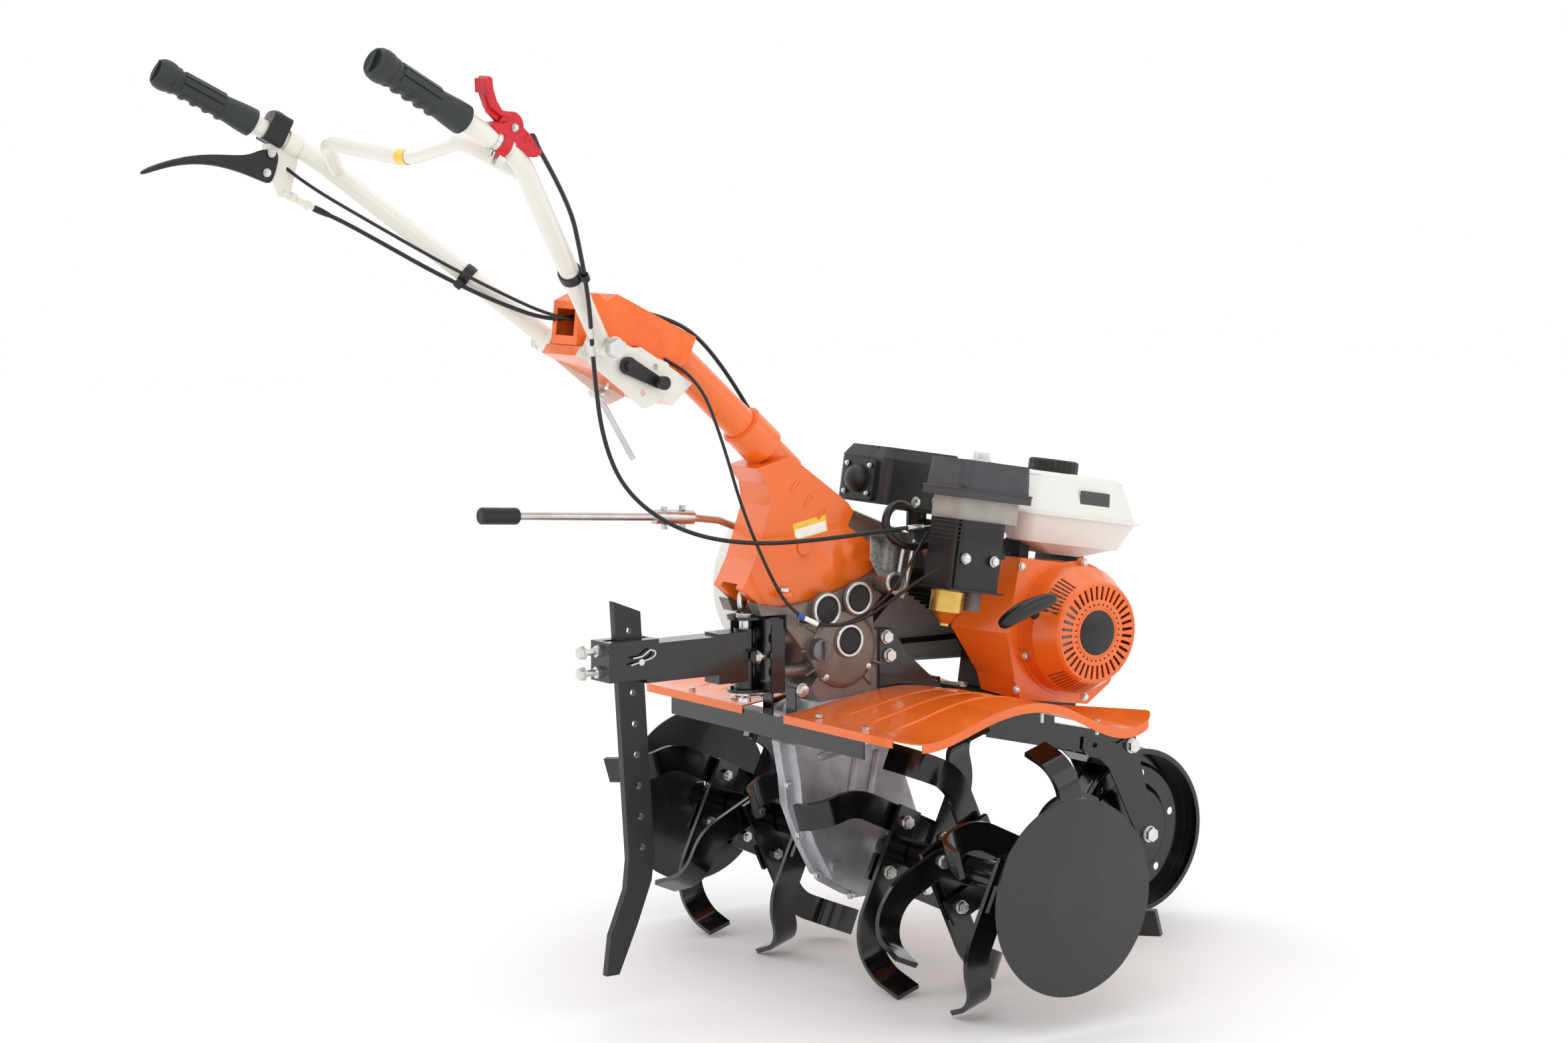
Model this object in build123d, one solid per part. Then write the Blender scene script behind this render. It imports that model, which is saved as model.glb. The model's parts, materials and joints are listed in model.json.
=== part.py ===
"""Petrol rotary tiller: rotor with bolt-on tines, gearbox, engine, fenders, drag bar and handlebar.

Millimetres. +X is the way the machine travels, +Y is its left side, +Z is up.
The model is drawn with the rotor shaft above X = 0 and the tine tips on Z = 0,
and moved at the end so that the origin is the bottom centre of its bounding box.
"""

from build123d import *
from math import acos, atan2, cos, hypot, pi, radians, sin
import os

# ---------------------------------------------------------------- driving dimensions

AXLE_Z = 220.0  # rotor shaft above the tine tips
ENGINE_PITCH = 9.0  # the engine, its frame and the rails slope nose down by this much
CRANK = (298.5, 547.5)  # crankshaft, X and Z

FLANGE_Y = (105.0, 237.0, 378.0)  # tine flanges, out from the middle
FLANGE_PHASE = (20.0, 70.0, 20.0)  # angle of the first bolt on each flange
BOLT_CIRCLE_R = 57.0
BLADE_WIDTH = 42.0
BLADE_THICK = 8.0
DISC_R = 145.0
DISC_Y = 488.0

WHEEL_R = 138.0
WHEEL_X = 541.0
WHEEL_Z = 176.0
WHEEL_HALF_WIDTH = 24.0
FORK_PIVOT = (500.0, 328.0)
RAIL_Y = 44.0

TUBE_D = 28.0  # handlebar tube
TUBE_WALL = 2.5
PIVOT = (-534.0, 1015.0)  # handlebar height pivot, X and Z
GRIP_LENGTH = 153.0
GRIP_OUTER = (-1031.0, 314.0, 1403.0)
BAR_BEND = (-806.0, 286.0, 1286.0)

COLUMN_D = 52.0
COLUMN_WALL = 3.0
COLUMN_TOP = (-381.0, 0.0, 1003.8)
COLUMN_FOOT = (-160.0, 0.0, 811.0)
HITCH_X = -239.0
HITCH_PIN_R = 9.0

CABLE_D = 6.5

# Fender sheet: heights of its inner and outer edges at stations along X.
FENDER_X = (-205, -130, -50, 20, 85, 145, 205, 278)
FENDER_INNER = (450, 459, 470, 474, 465, 446, 430, 421)
FENDER_OUTER = (449, 449, 473, 484, 475, 449, 428, 449)
FENDER_Y = (54.0, 350.0)
FENDER_BOLTS = ((-182, 110), (-182, 225), (224, 146), (222, 278))
SHEET = 2.0

# Side outlines (X, Z) of the gearbox, the casting above it and the chain case below it.
SEAM = [(-242, 619), (-201, 612), (-148, 618), (-80, 634), (-32, 652)]
GEARBOX = [
    (-33, 615), (-26, 548), (-5, 474), (-22, 468), (-138, 462), (-152, 486),
    (-138, 503), (-159, 535), (-197, 580), (-197, 601), (-244, 602), (-253, 622),
]
CASTING = [
    (18, 657), (9, 671), (-29, 696), (-74, 726), (-63, 747), (-74, 762),
    (-181, 838), (-245, 823), (-224, 798), (-219, 765), (-247, 684), (-270, 643),
]
CHAIN_CASE = [
    (-22, 468), (14, 400), (44, 330), (70, 262), (76, 212), (52, 163), (0, 146), (-30, 146),
    (-53, 155), (-96, 179), (-129, 239), (-153, 297), (-157, 338), (-168, 395), (-138, 462),
]

# Shaft centres (X, Z) in the gearbox.
INPUT = (-69.0, 617.0)
CHAIN_SHAFT = (-86.0, 553.0)
REVERSE_SHAFT = (-129.0, 604.0)

# Hollows of the gearbox and the chain case.
GEARBOX_HOLLOW = [
    (-186, 604), (-150, 610), (-84, 625), (-42, 640), (-40, 612), (-33, 546), (-15, 481),
    (-27, 475), (-131, 469), (-144, 487), (-131, 505), (-154, 541), (-186, 581),
]
CASTING_HOLLOW = [(-215, 660), (-190, 760), (-120, 770), (-70, 700), (-30, 665), (-80, 650), (-148, 632)]
CHAIN_HOLLOW = [
    (-25, 465), (11, 399), (41, 329), (67, 261), (73, 213), (50, 166), (0, 149), (-30, 149),
    (-52, 158), (-94, 181), (-126, 241), (-150, 298), (-154, 338), (-165, 394), (-137, 459),
]

# Belt drive.
BELT_Y = 83.0
DRIVEN_R = 104.0
DRIVE_R = 38.0
TENSION = (104.0, 611.0)
TENSION_PIVOT = (16.0, 529.0)
COVER = ((-80.0, 630.0, 134.0), (298.5, 547.5, 66.0))
COVER_BOLTS = ((-150.0, 722.0), (225.0, 560.0))

# Gear lever pivot (X, Z).
GEAR_PIVOT = (-199.0, 719.0)

# Side outlines (X, Z) of the column head, its side plates and its plastic cover.
HEAD_CORE = [
    (-567, 1003), (-558, 1016), (-454, 1011), (-391, 973), (-365, 955), (-400, 925),
    (-426, 934), (-455, 949),
]
HEAD_PLATE = [
    (-546, 1034), (-520, 1031), (-498, 1022), (-410, 987), (-404, 962), (-426, 932),
    (-452, 922), (-548, 995), (-556, 1012),
]
HEAD_COVER = [
    (-523, 1091), (-505, 1078), (-487, 1088), (-350, 1022), (-366, 985), (-391, 974), (-454, 1012),
    (-558, 1017), (-552, 1079),
]

# Height lever pivot and knob, and the clamp rod pivot (X, Z).
LATCH = ((-484.0, 986.0), (-432.0, 960.0))
CLAMP = (-465.0, 941.0)

# Route points of the cables.
THROTTLE_RUN = [
    (-786.5, -290, 1310), (-693, -230, 1228), (-648, -190, 1150), (-612, -154, 1080), (-574, -104, 990),
    (-545, -82, 880), (-500, -78, 800), (-401, -74, 739), (-273, -72, 713), (-130, -76, 714),
    (-28, -98, 724), (14, -112, 726),
]
SWITCH_RUN = [
    (-868, 311, 1312), (-856, 306, 1280), (-829, 246, 1240), (-775, 185, 1195), (-686, 140, 1137),
    (-611, 100, 1092), (-568, 14, 1056), (-500, -12, 1046), (-420, -22, 1002), (-363, -60, 962),
    (-326, -66, 871), (-290, -66, 764), (-239, -66, 662), (-205, -72, 608), (-150, -82, 581),
    (-95, -98, 587), (-51, -130, 625), (-22, -165, 660), (-11, -184, 669),
]
CLUTCH_RUN = [
    (-803.6, 286.5, 1209.8), (-775, 266, 1194), (-739, 222, 1165), (-674, 156, 1115), (-612, 100, 1076),
    (-560, 26, 1048), (-500, 10, 1062), (-440, 10, 1064), (-377, 10, 1050), (-306, 34, 1024),
    (-230, 58, 960), (-150, 74, 860), (-62, 78, 764),
]

# Fan shroud outlines, in the sloping frame of the engine.
SHROUD_FRONT = [
    (-120, 101), (20, 101), (80, 75), (104, 20), (104, -50), (98, -80), (56, -117), (-84, -119),
    (-100, -90), (-128, -18),
]
SHROUD_BACK = [
    (-137, 99), (20, 103), (84, 78), (107, 20), (107, -52), (100, -83), (58, -119), (-112, -112),
    (-126, -84), (-189, -18),
]

nodes = {}


# ---------------------------------------------------------------- helpers


def vec(p):
    """A point as a Vector."""
    return Vector(*p)


def rod(a, b, r, bore=0.0):
    """Round bar of radius r from point a to point b, bored through if asked."""
    a, b = vec(a), vec(b)
    plane = Plane(origin=a, z_dir=b - a)
    face = plane * Circle(r)
    if bore:
        face -= plane * Circle(bore)
    return extrude(face, amount=(b - a).length)


def y_rod(x, z, y0, y1, r, bore=0.0):
    """Round bar along Y."""
    return rod((x, y0, z), (x, y1, z), r, bore)


def slab(points, y0, y1, fillet=0.0):
    """Plate drawn in X and Z, from y0 to y1, with its outline corners rounded."""
    outline = Polyline(*[(x, 0, z) for x, z in points], close=True)
    face = make_face(outline)
    if fillet:
        face = fillet_face(face, fillet)
    return Pos(0, max(y0, y1), 0) * extrude(face, amount=abs(y1 - y0), dir=(0, -1, 0))


def fillet_face(face, radius):
    """Rounds every corner of a flat face."""
    return fillet(face.vertices(), radius)


def block(x0, x1, y0, y1, z0, z1):
    """Box between two corners."""
    size = (abs(x1 - x0), abs(y1 - y0), abs(z1 - z0))
    return Pos((x0 + x1) / 2, (y0 + y1) / 2, (z0 + z1) / 2) * Box(*size)


def mirrored(shape):
    """The same shape on the other side of the machine."""
    return mirror(shape, about=Plane.XZ)


def both_sides(shape):
    """A shape and its mirror image, as one group of solids."""
    return group([shape, mirrored(shape)])


def group(shapes):
    """Several separate solids in one node."""
    solids = []
    for shape in shapes:
        solids += shape.solids()
    return Compound(solids) if len(solids) > 1 else solids[0]


def hex_prism(a, direction, across, length):
    """Hexagonal bar from point a along a direction."""
    plane = Plane(origin=vec(a), z_dir=vec(direction))
    return extrude(plane * RegularPolygon(across / 2 / cos(pi / 6), 6), amount=length)


def bolt(head_at, direction, length, d, nut_at=None):
    """Hexagon bolt: the head sits behind head_at, the shank runs along direction.

    nut_at is how far along the shank the nut's near face is.
    """
    direction = vec(direction).normalized()
    head_at = vec(head_at)
    washer = rod(head_at - direction * (0.2 * d), head_at, 1.05 * d)
    head = hex_prism(head_at - direction * (0.2 * d), -direction, 1.6 * d, 0.65 * d)
    whole = washer + head + rod(head_at, head_at + direction * length, d / 2)
    if nut_at is not None:
        whole += hex_prism(head_at + direction * nut_at, direction, 1.6 * d, 0.8 * d)
    return whole


def bent_rod(points, radii, r, bore=0.0):
    """Round bar swept along straight runs joined by tangent arcs."""
    path = FilletPolyline(*points, radius=radii)
    start = Plane(origin=path @ 0, z_dir=path % 0)
    section = start * Circle(r)
    if bore:
        section -= start * Circle(bore)
    return sweep(section, path=path)


def cable_radii(points):
    """Largest tangent arcs that the runs allow: 0.45 of the shorter run over tan(turn / 2)."""
    radii = []
    for before, here, after in zip(points, points[1:], points[2:]):
        first = vec(here) - vec(before)
        second = vec(after) - vec(here)
        turn = radians(first.get_angle(second))
        shorter = min(first.length, second.length)
        radii.append(0.45 * shorter * cos(turn / 2) / sin(turn / 2))
    return radii


def cable(points, d=CABLE_D):
    """Bowden cable or lead along a list of points."""
    radii = cable_radii(points)
    tube = bent_rod(points, radii, d / 2)
    print("cable radii", [round(r) for r in radii])
    return tube


def r_clip(at, side=1.0, wire=1.25):
    """R-clip: one straight leg through a pin and one humped leg over it."""
    x, y, z = at
    points = [
        (x - 18 * side, y, z),
        (x + 20 * side, y, z),
        (x + 32 * side, y, z + 6),
        (x + 20 * side, y, z + 13),
        (x + 4 * side, y, z + 7),
        (x - 12 * side, y, z + 9),
    ]
    return bent_rod(points, [5, 4, 4, 5], wire)


def pitched(shape, x, z):
    """Turns a shape drawn about a point nose down by the engine's slope, and puts it at (x, z)."""
    return Location((x, 0, z), (0, ENGINE_PITCH, 0)) * shape


def on_engine(shape):
    """Places a shape drawn about the crankshaft."""
    return pitched(shape, *CRANK)


def tapered(lower, upper, z0, z1, radius):
    """Rounded box whose walls slope: lower and upper are (x0, x1, y0, y1)."""
    faces = []
    for (x0, x1, y0, y1), z in ((lower, z0), (upper, z1)):
        place = Pos((x0 + x1) / 2, (y0 + y1) / 2, z)
        faces.append(place * RectangleRounded(x1 - x0, y1 - y0, radius))
    return loft(faces, ruled=True)


# ---------------------------------------------------------------- rotor


def turtle_strip(start, moves):
    """Flat strip that runs, bends in its own plane or curls out of it, as one solid."""
    here = start
    solid = None
    for kind, size, angle in moves:
        section = Plane.YZ * Rectangle(BLADE_WIDTH, BLADE_THICK)
        if kind == "run":
            piece = extrude(section, amount=size)
            step = Location((size, 0, 0))
        elif kind == "edge":
            piece = revolve(section, Axis((0, size, 0), (0, 0, 1)), revolution_arc=angle)
            step = Location((0, size, 0)) * Location((0, 0, 0), (0, 0, angle)) * Location((0, -size, 0))
        else:
            piece = revolve(section, Axis((0, 0, size), (0, -1, 0)), revolution_arc=angle)
            step = Location((0, 0, size)) * Location((0, 0, 0), (0, -angle, 0)) * Location((0, 0, -size))
        piece = here * piece
        solid = piece if solid is None else solid + piece
        here = here * step
    return solid


def blade(last_run):
    """One tine, lying in XY round the shaft at the origin and curling towards +Z."""
    tail = 22.0
    start = Location((BOLT_CIRCLE_R, 0, 0), (0, 0, 135)) * Location((-tail, 0, 0))
    pitch_line = BOLT_CIRCLE_R * 2**0.5
    moves = [
        ("run", tail + pitch_line + 66, 0),
        ("edge", 75.0, 42),
        ("face", 50.0, 70),
        ("run", last_run, 0),
    ]
    body = turtle_strip(start, moves)
    for x, y in ((BOLT_CIRCLE_R, 0), (0, BOLT_CIRCLE_R)):
        body -= Pos(x, y, 0) * Cylinder(5.2, 3 * BLADE_THICK)
    clear_of_tube = Cylinder(24.5, 3 * BLADE_THICK)
    return body - clear_of_tube


def upright(y, phase):
    """Stands a shape drawn round +Z on the rotor axis, so that +Z becomes -Y there."""
    return Location((0, y, AXLE_Z), (90, 0, 0)) * Location((0, 0, 0), (0, 0, phase))


def tine_flange(y, phase):
    """Square plate with four bolt holes, welded on the rotor tube."""
    plate = Box(2 * 54, 2 * 54, BLADE_THICK)
    plate = fillet(plate.edges().filter_by(Axis.Z), 14)
    plate = Location((0, 0, 0), (0, 0, 45)) * plate
    for k in range(4):
        angle = radians(90 * k)
        plate -= Pos(BOLT_CIRCLE_R * cos(angle), BOLT_CIRCLE_R * sin(angle), 0) * Cylinder(5.2, 20)
    plate -= Cylinder(22, 20)
    return upright(-y, phase) * plate


def tine_set(side):
    """Twelve blades and their bolts on one half of the rotor; side is -1 for the right."""
    outer_blade, middle_blade, inner_blade = blade(40), blade(26), blade(10)
    blades, bolts = [], []
    for flange, (y, phase) in enumerate(zip(FLANGE_Y, FLANGE_PHASE)):
        for k in range(4):
            turn = phase + 90 * k
            outward = (k % 2 == 1) if flange == 0 else (k % 2 == 0)
            inner = inner_blade if flange == 0 else middle_blade
            shape = outer_blade if outward else inner
            if outward != (side < 0):
                shape = mirror(shape, about=Plane.XY)
            reach = BLADE_THICK if outward else -BLADE_THICK
            blades.append(upright(side * (y + reach), turn) * shape)
            angle = radians(turn)
            x, z = BOLT_CIRCLE_R * cos(angle), AXLE_Z + BOLT_CIRCLE_R * sin(angle)
            head = side * (y + 1.5 * BLADE_THICK)
            bolts.append(bolt((x, head, z), (0, -side, 0), 36, 10, nut_at=3 * BLADE_THICK))
    return group(blades), bolts


def rotor_disc():
    """Slightly coned side disc with a stub that pushes into the rotor tube."""
    y = DISC_Y
    profile = Polyline(
        (0, y - 58), (14.8, y - 58), (14.8, y - 18), (22, y - 18), (22, y), (52, y), (DISC_R, y - 7),
        (DISC_R, y - 4), (52, y + 3), (0, y + 3), close=True,
    )
    return Pos(0, 0, AXLE_Z) * revolve(make_face(profile), Axis.Y)


def rotor_pin(y):
    """Clevis pin through tube and shaft, with its R-clip."""
    pin = rod((0, y, AXLE_Z - 30), (0, y, AXLE_Z + 31), 4)
    pin += rod((0, y, AXLE_Z - 34), (0, y, AXLE_Z - 30), 6.5)
    return pin + r_clip((0, y, AXLE_Z + 27))


def build_rotor():
    """Output shaft, two rotor halves, side discs and the pins that hold them on."""
    shaft = y_rod(0, AXLE_Z, -205, 205, 14.8) + y_rod(0, AXLE_Z, -7, 7, 62)
    for k in range(20):
        angle = 2 * pi * k / 20
        shaft -= y_rod(66 * cos(angle), AXLE_Z + 66 * sin(angle), -9, 9, 6.5)

    pins = group([rotor_pin(-66), rotor_pin(-452)])
    half = y_rod(0, AXLE_Z, -50, -470, 22, 14.85)
    for y, phase in zip(FLANGE_Y, FLANGE_PHASE):
        half += tine_flange(y, phase)
    half -= rod((0, -66, 180), (0, -66, 260), 4)
    half -= rod((0, -452, 180), (0, -452, 260), 4)
    disc = mirrored(rotor_disc()) - rod((0, -452, 180), (0, -452, 260), 4)
    for y in (-66, 66):
        shaft -= rod((0, y, 180), (0, y, 260), 4)
    right_blades, right_bolts = tine_set(-1)
    left_blades, left_bolts = tine_set(1)
    nodes["output_shaft"] = shaft
    nodes["rotor_half_right"] = half
    nodes["rotor_half_left"] = mirrored(half)
    nodes["tines_right"] = right_blades
    nodes["tines_left"] = left_blades
    nodes["tine_bolts"] = group(right_bolts + left_bolts)
    nodes["side_discs"] = both_sides(disc)
    nodes["rotor_pins"] = both_sides(pins)


# ---------------------------------------------------------------- transport wheel


def build_wheel():
    """Pressed steel wheel, its axle, and the fork that folds it up."""
    w, r = WHEEL_HALF_WIDTH, WHEEL_R
    rim = Polyline(
        (r - 9, -w),
        (r - 1.5, -w),
        (r, -w + 2),
        (r - 3, -w + 9),
        (r - 3, w - 9),
        (r, w - 2),
        (r - 1.5, w),
        (r - 9, w),
        (r - 9, w - 2.5),
        (r - 5.5, w - 3.5),
        (r - 5.5, -w + 3.5),
        (r - 9, -w + 2.5),
        close=True,
    )
    dish = Polyline(
        (r - 5.5, 9),
        (r - 24, 9),
        (r - 30, 2),
        (r - 56, 2),
        (r - 66, -8),
        (13, -8),
        (13, -5),
        (r - 65, -5),
        (r - 55, 5),
        (r - 31, 5),
        (r - 25, 12),
        (r - 5.5, 12),
        close=True,
    )
    wheel = revolve(make_face(rim), Axis.Y) + revolve(make_face(dish), Axis.Y)
    for k in range(6):
        angle = radians(60 * k + 12)
        wheel -= y_rod((r - 43) * cos(angle), (r - 43) * sin(angle), -30, 30, 6.5)
    wheel = Pos(WHEEL_X, 0, WHEEL_Z) * wheel
    wheel += y_rod(WHEEL_X, WHEEL_Z, -34, 34, 13.2, 6.55)
    nodes["front_wheel"] = wheel
    nodes["wheel_axle"] = bolt((WHEEL_X, -48, WHEEL_Z), (0, 1, 0), 112, 13, nut_at=96)

    x, z = FORK_PIVOT
    outline = [
        (397, 353), (395, 333), (412, 318), (431, 314), (452, 296), (498, 210), (521, 169),
        (534, 161), (548, 163), (556, 178), (514, 322), (510, 342), (490, 342), (470, 334),
    ]
    cheek = slab(outline, -45, -48, 2)
    cheek -= y_rod(421, 338, -40, -55, 5.5)
    cheek -= y_rod(WHEEL_X, WHEEL_Z, -40, -55, 6.5)
    cheek -= y_rod(x, z, -40, -55, 6.05)
    web = slab([(431.5, 314.5), (450, 298), (452, 300.5), (433.5, 317)], -45, 45)
    nodes["wheel_fork"] = cheek + mirrored(cheek) + web
    nodes["fork_bolt"] = bolt((x, -48.3, z), (0, 1, 0), 112, 12, nut_at=96.6)


# ---------------------------------------------------------------- frame and fenders


def rail_top(x):
    """Height of the rails' top edge, which slopes with the engine."""
    return 414.0 - (x - 265.0) * sin(radians(ENGINE_PITCH)) / cos(radians(ENGINE_PITCH))


def build_frame():
    """Side rails with their gearbox plates, the engine bed, the rear bar and the front beam."""
    outline = [
        (-20, 563), (6, 563), (34, 522), (100, 466), (118, rail_top(118)), (335, rail_top(335)),
        (335, rail_top(335) - 45), (8, rail_top(8) - 45), (-20, 472),
    ]
    rail = slab(outline, -RAIL_Y, -RAIL_Y - 4)
    for x, z in ((-8, 551), (-2, 522)):
        rail -= y_rod(x, z, -30, -70, 5)
    bed = on_engine(Pos(-20, 0, -134) * Box(264, 2 * RAIL_Y + 8, 6))
    nodes["frame_rails"] = both_sides(rail)
    nodes["engine_bed"] = bed

    bar = block(-204.8, -172, -250, 250, 441.6, 444.6) + block(-204.8, -202, -250, 250, 410, 442)
    for y in (-30, 30):
        bar += block(-176, -173, y - 12, y + 12, 442, 486)
    for x, d in FENDER_BOLTS[:2]:
        bar -= rod((x, d, 400), (x, d, 460), 3) + rod((x, -d, 400), (x, -d, 460), 3)
    nodes["rear_bar"] = bar

    beam = Box(312, 2 * RAIL_Y, 40) - Pos(0, 0, -4) * Box(330, 2 * RAIL_Y - 6, 40)
    beam = Location((355, 0, 357), (0, 12.85, 0)) * beam
    beam -= y_rod(*FORK_PIVOT, -60, 60, 6)
    beam -= y_rod(421, 338, -60, 60, 5.5)
    nodes["front_beam"] = beam

    bolts = []
    for y in (-1, 1):
        for x, z in ((-8, 551), (-2, 522)):
            bolts.append(bolt((x, y * (RAIL_Y + 4), z), (0, -y, 0), 24, 10))
        for lx, ly in ((-128, 34), (84, 34)):
            x, z = from_engine(lx, -112)
            down = (-sin(radians(ENGINE_PITCH)), 0, -cos(radians(ENGINE_PITCH)))
            bolts.append(bolt((x, y * ly, z), down, 32, 9, nut_at=25))
        for x, d in FENDER_BOLTS:
            z = fender_top(x, d)
            bolts.append(bolt((x, y * d, z), (0, 0, -1), 20, 6))
    nodes["frame_bolts"] = group(bolts)


def from_engine(lx, lz):
    """X and Z of a point given along and above the sloping engine."""
    c, s = cos(radians(ENGINE_PITCH)), sin(radians(ENGINE_PITCH))
    return CRANK[0] + lx * c + lz * s, CRANK[1] - lx * s + lz * c


def fender_top(x, d):
    """Height of the fender's upper face round one of its bolts."""
    washer = rod((x, -d, 380), (x, -d, 520), 6.4)
    return (nodes["fender_right"] & washer).bounding_box().max.Z


def fender_rib(heights, y, thick):
    """Outline of the sheet in X and Z at one Y."""
    over = Spline(*[(x, y, z) for x, z in zip(FENDER_X, heights)])
    under = Spline(*[(x, y, z - thick) for x, z in zip(FENDER_X, heights)])
    return make_face(over + under + Line(over @ 0, under @ 0) + Line(over @ 1, under @ 1))


def build_fenders():
    """Arched sheet over each half of the rotor, with a turned-down outer lip."""
    inner = fender_rib(FENDER_INNER, -FENDER_Y[0], SHEET)
    outer = fender_rib(FENDER_OUTER, -FENDER_Y[1], SHEET)
    fender = loft([inner, outer], ruled=True)
    fender += extrude(fender_rib(FENDER_OUTER, -FENDER_Y[1], 14), amount=SHEET, dir=(0, -1, 0))
    fender += block(-207, -205, -FENDER_Y[0], -FENDER_Y[1] - SHEET, 437, 450)
    edge = -FENDER_Y[1] - SHEET
    for x, way, radius in ((-207, 1, 45), (278, -1, 25)):
        corner = block(x - way, x + way * radius, edge - 1, edge + radius, 400, 520)
        fender -= corner - Pos(x + way * radius, edge + radius, 460) * Cylinder(radius, 200)
    for x, d in FENDER_BOLTS:
        fender -= rod((x, -d, 380), (x, -d, 520), 3.2)
    nodes["fender_right"] = fender
    nodes["fender_left"] = mirrored(fender)


# ---------------------------------------------------------------- gearbox and casting


def hollow(outer, inner, half, wall):
    """Casting or pressing with a hollow inside, both drawn in X and Z."""
    return slab(outer, -half, half) - slab(inner, wall - half, half - wall)


def build_gearbox():
    """Gearbox, chain case, upper casting and the shaft that the belt drives."""
    box = hollow(SEAM + GEARBOX, GEARBOX_HOLLOW, 50, 7)
    for z in (563, 512):
        for y in (-30, 30):
            box += rod((-197, y, z), (-140, y, z), 11)
    for x, z in (INPUT, CHAIN_SHAFT, REVERSE_SHAFT):
        box += y_rod(x, z, -50, -58, 27)
        box += y_rod(x, z, -58, -61, 25, 21)
        box += y_rod(x, z, -58, -59.5, 21)
    box += y_rod(*INPUT, 43, 62, 24)
    box += y_rod(-22, 640, -60, -90, 17, 12) + y_rod(-22, 640, -40, -62, 17)
    box += y_rod(-142, 544, -50, -66, 17) + block(-144, -140, -66, -76, 530, 558)
    box -= y_rod(*INPUT, -44, 80, 12.05)
    box -= block(-290, -212, -25, 25, 590, 700)
    box -= block(-40, 60, -RAIL_Y, -60, 400, 620)
    box -= block(-40, 60, RAIL_Y, 60, 400, 620)
    for y in (-1, 1):
        box += block(-32, 4, y * 24, y * RAIL_Y, 508, 563)
        for x, z in ((-8, 551), (-2, 522)):
            box -= y_rod(x, z, y * 20, y * 60, 5)
    nodes["gearbox"] = box

    case = hollow(CHAIN_CASE, CHAIN_HOLLOW, 30, 3)
    rim = offset(make_face(Polyline(*[(x, 0, z) for x, z in CHAIN_CASE], close=True)), amount=9)
    rim = Pos(0, 2, 0) * extrude(rim, amount=4, dir=(0, -1, 0))
    rim -= slab(CHAIN_CASE, 5, -5)
    rim -= block(-300, 300, -10, 10, 461.5, 500)
    case += rim
    case += y_rod(0, AXLE_Z, -28, -46, 26) + y_rod(0, AXLE_Z, 28, 46, 26)
    case += y_rod(-92, 198, -28, -36, 9)
    case -= y_rod(0, AXLE_Z, -60, 60, 14.86)
    nodes["chain_case"] = case - slab(SEAM + GEARBOX, 50, -50)

    cast = slab(SEAM[::-1] + [CASTING[-1]] + CASTING[:-1][::-1], -38, 38)
    cast -= slab(CASTING_HOLLOW, -31, 31)
    cast += rod((-246, 0, 886), (-205, 0, 850), 33)
    cast += y_rod(-160, 700, -38, -44, 12)
    cast -= rod(COLUMN_TOP, COLUMN_FOOT, COLUMN_D / 2)
    cast -= rod((-150, 0, 780), (-110, 0, 745), 20)
    cast -= block(-290, -212, -19, 19, 590, 649)
    nodes["column_casting"] = cast - slab(SEAM + GEARBOX, 50, -50)

    nodes["input_shaft"] = y_rod(*INPUT, -40, 100, 12)
    pulley = v_pulley(DRIVEN_R, BELT_Y)
    hub = y_rod(0, 0, BELT_Y - 14, BELT_Y + 14, 22)
    nodes["driven_pulley"] = Pos(INPUT[0], 0, INPUT[1]) * (pulley + hub - y_rod(0, 0, 0, 200, 12))


# ---------------------------------------------------------------- belt drive


def v_pulley(r, y):
    """Grooved pulley about the Y axis through the origin."""
    profile = Polyline(
        (0, y - 9), (r, y - 9), (r, y - 8), (r - 12, y - 5.5), (r - 12, y + 5.5), (r, y + 8), (r, y + 9),
        (0, y + 9), close=True,
    )
    wheel = revolve(make_face(profile), Axis.Y)
    if r > 60:
        ring = y_rod(0, 0, y - 12, y - 4, r - 20, 26) + y_rod(0, 0, y + 4, y + 12, r - 20, 26)
        wheel -= ring
    return wheel


def belt_hull(circles, grow):
    """Outline wrapped round two circles, in X and Z, standing on Y = 0."""
    (x1, z1, r1), (x2, z2, r2) = circles
    r1, r2 = r1 + grow, r2 + grow
    lean = atan2(z2 - z1, x2 - x1)
    side = acos((r1 - r2) / hypot(x2 - x1, z2 - z1))

    def first(angle):
        return (x1 + r1 * cos(angle), 0, z1 + r1 * sin(angle))

    def second(angle):
        return (x2 + r2 * cos(angle), 0, z2 + r2 * sin(angle))

    upper, lower = lean + side, lean - side
    edges = Line(first(upper), second(upper))
    edges += ThreePointArc(second(upper), second(lean), second(lower))
    edges += Line(second(lower), first(lower))
    edges += ThreePointArc(first(lower), first(lean + pi), first(upper))
    return make_face(edges)


def hull_slab(circles, grow, y0, y1):
    """The wrapped outline as a plate from y0 up to y1."""
    return Pos(0, y1, 0) * extrude(belt_hull(circles, grow), amount=y1 - y0, dir=(0, -1, 0))


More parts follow.
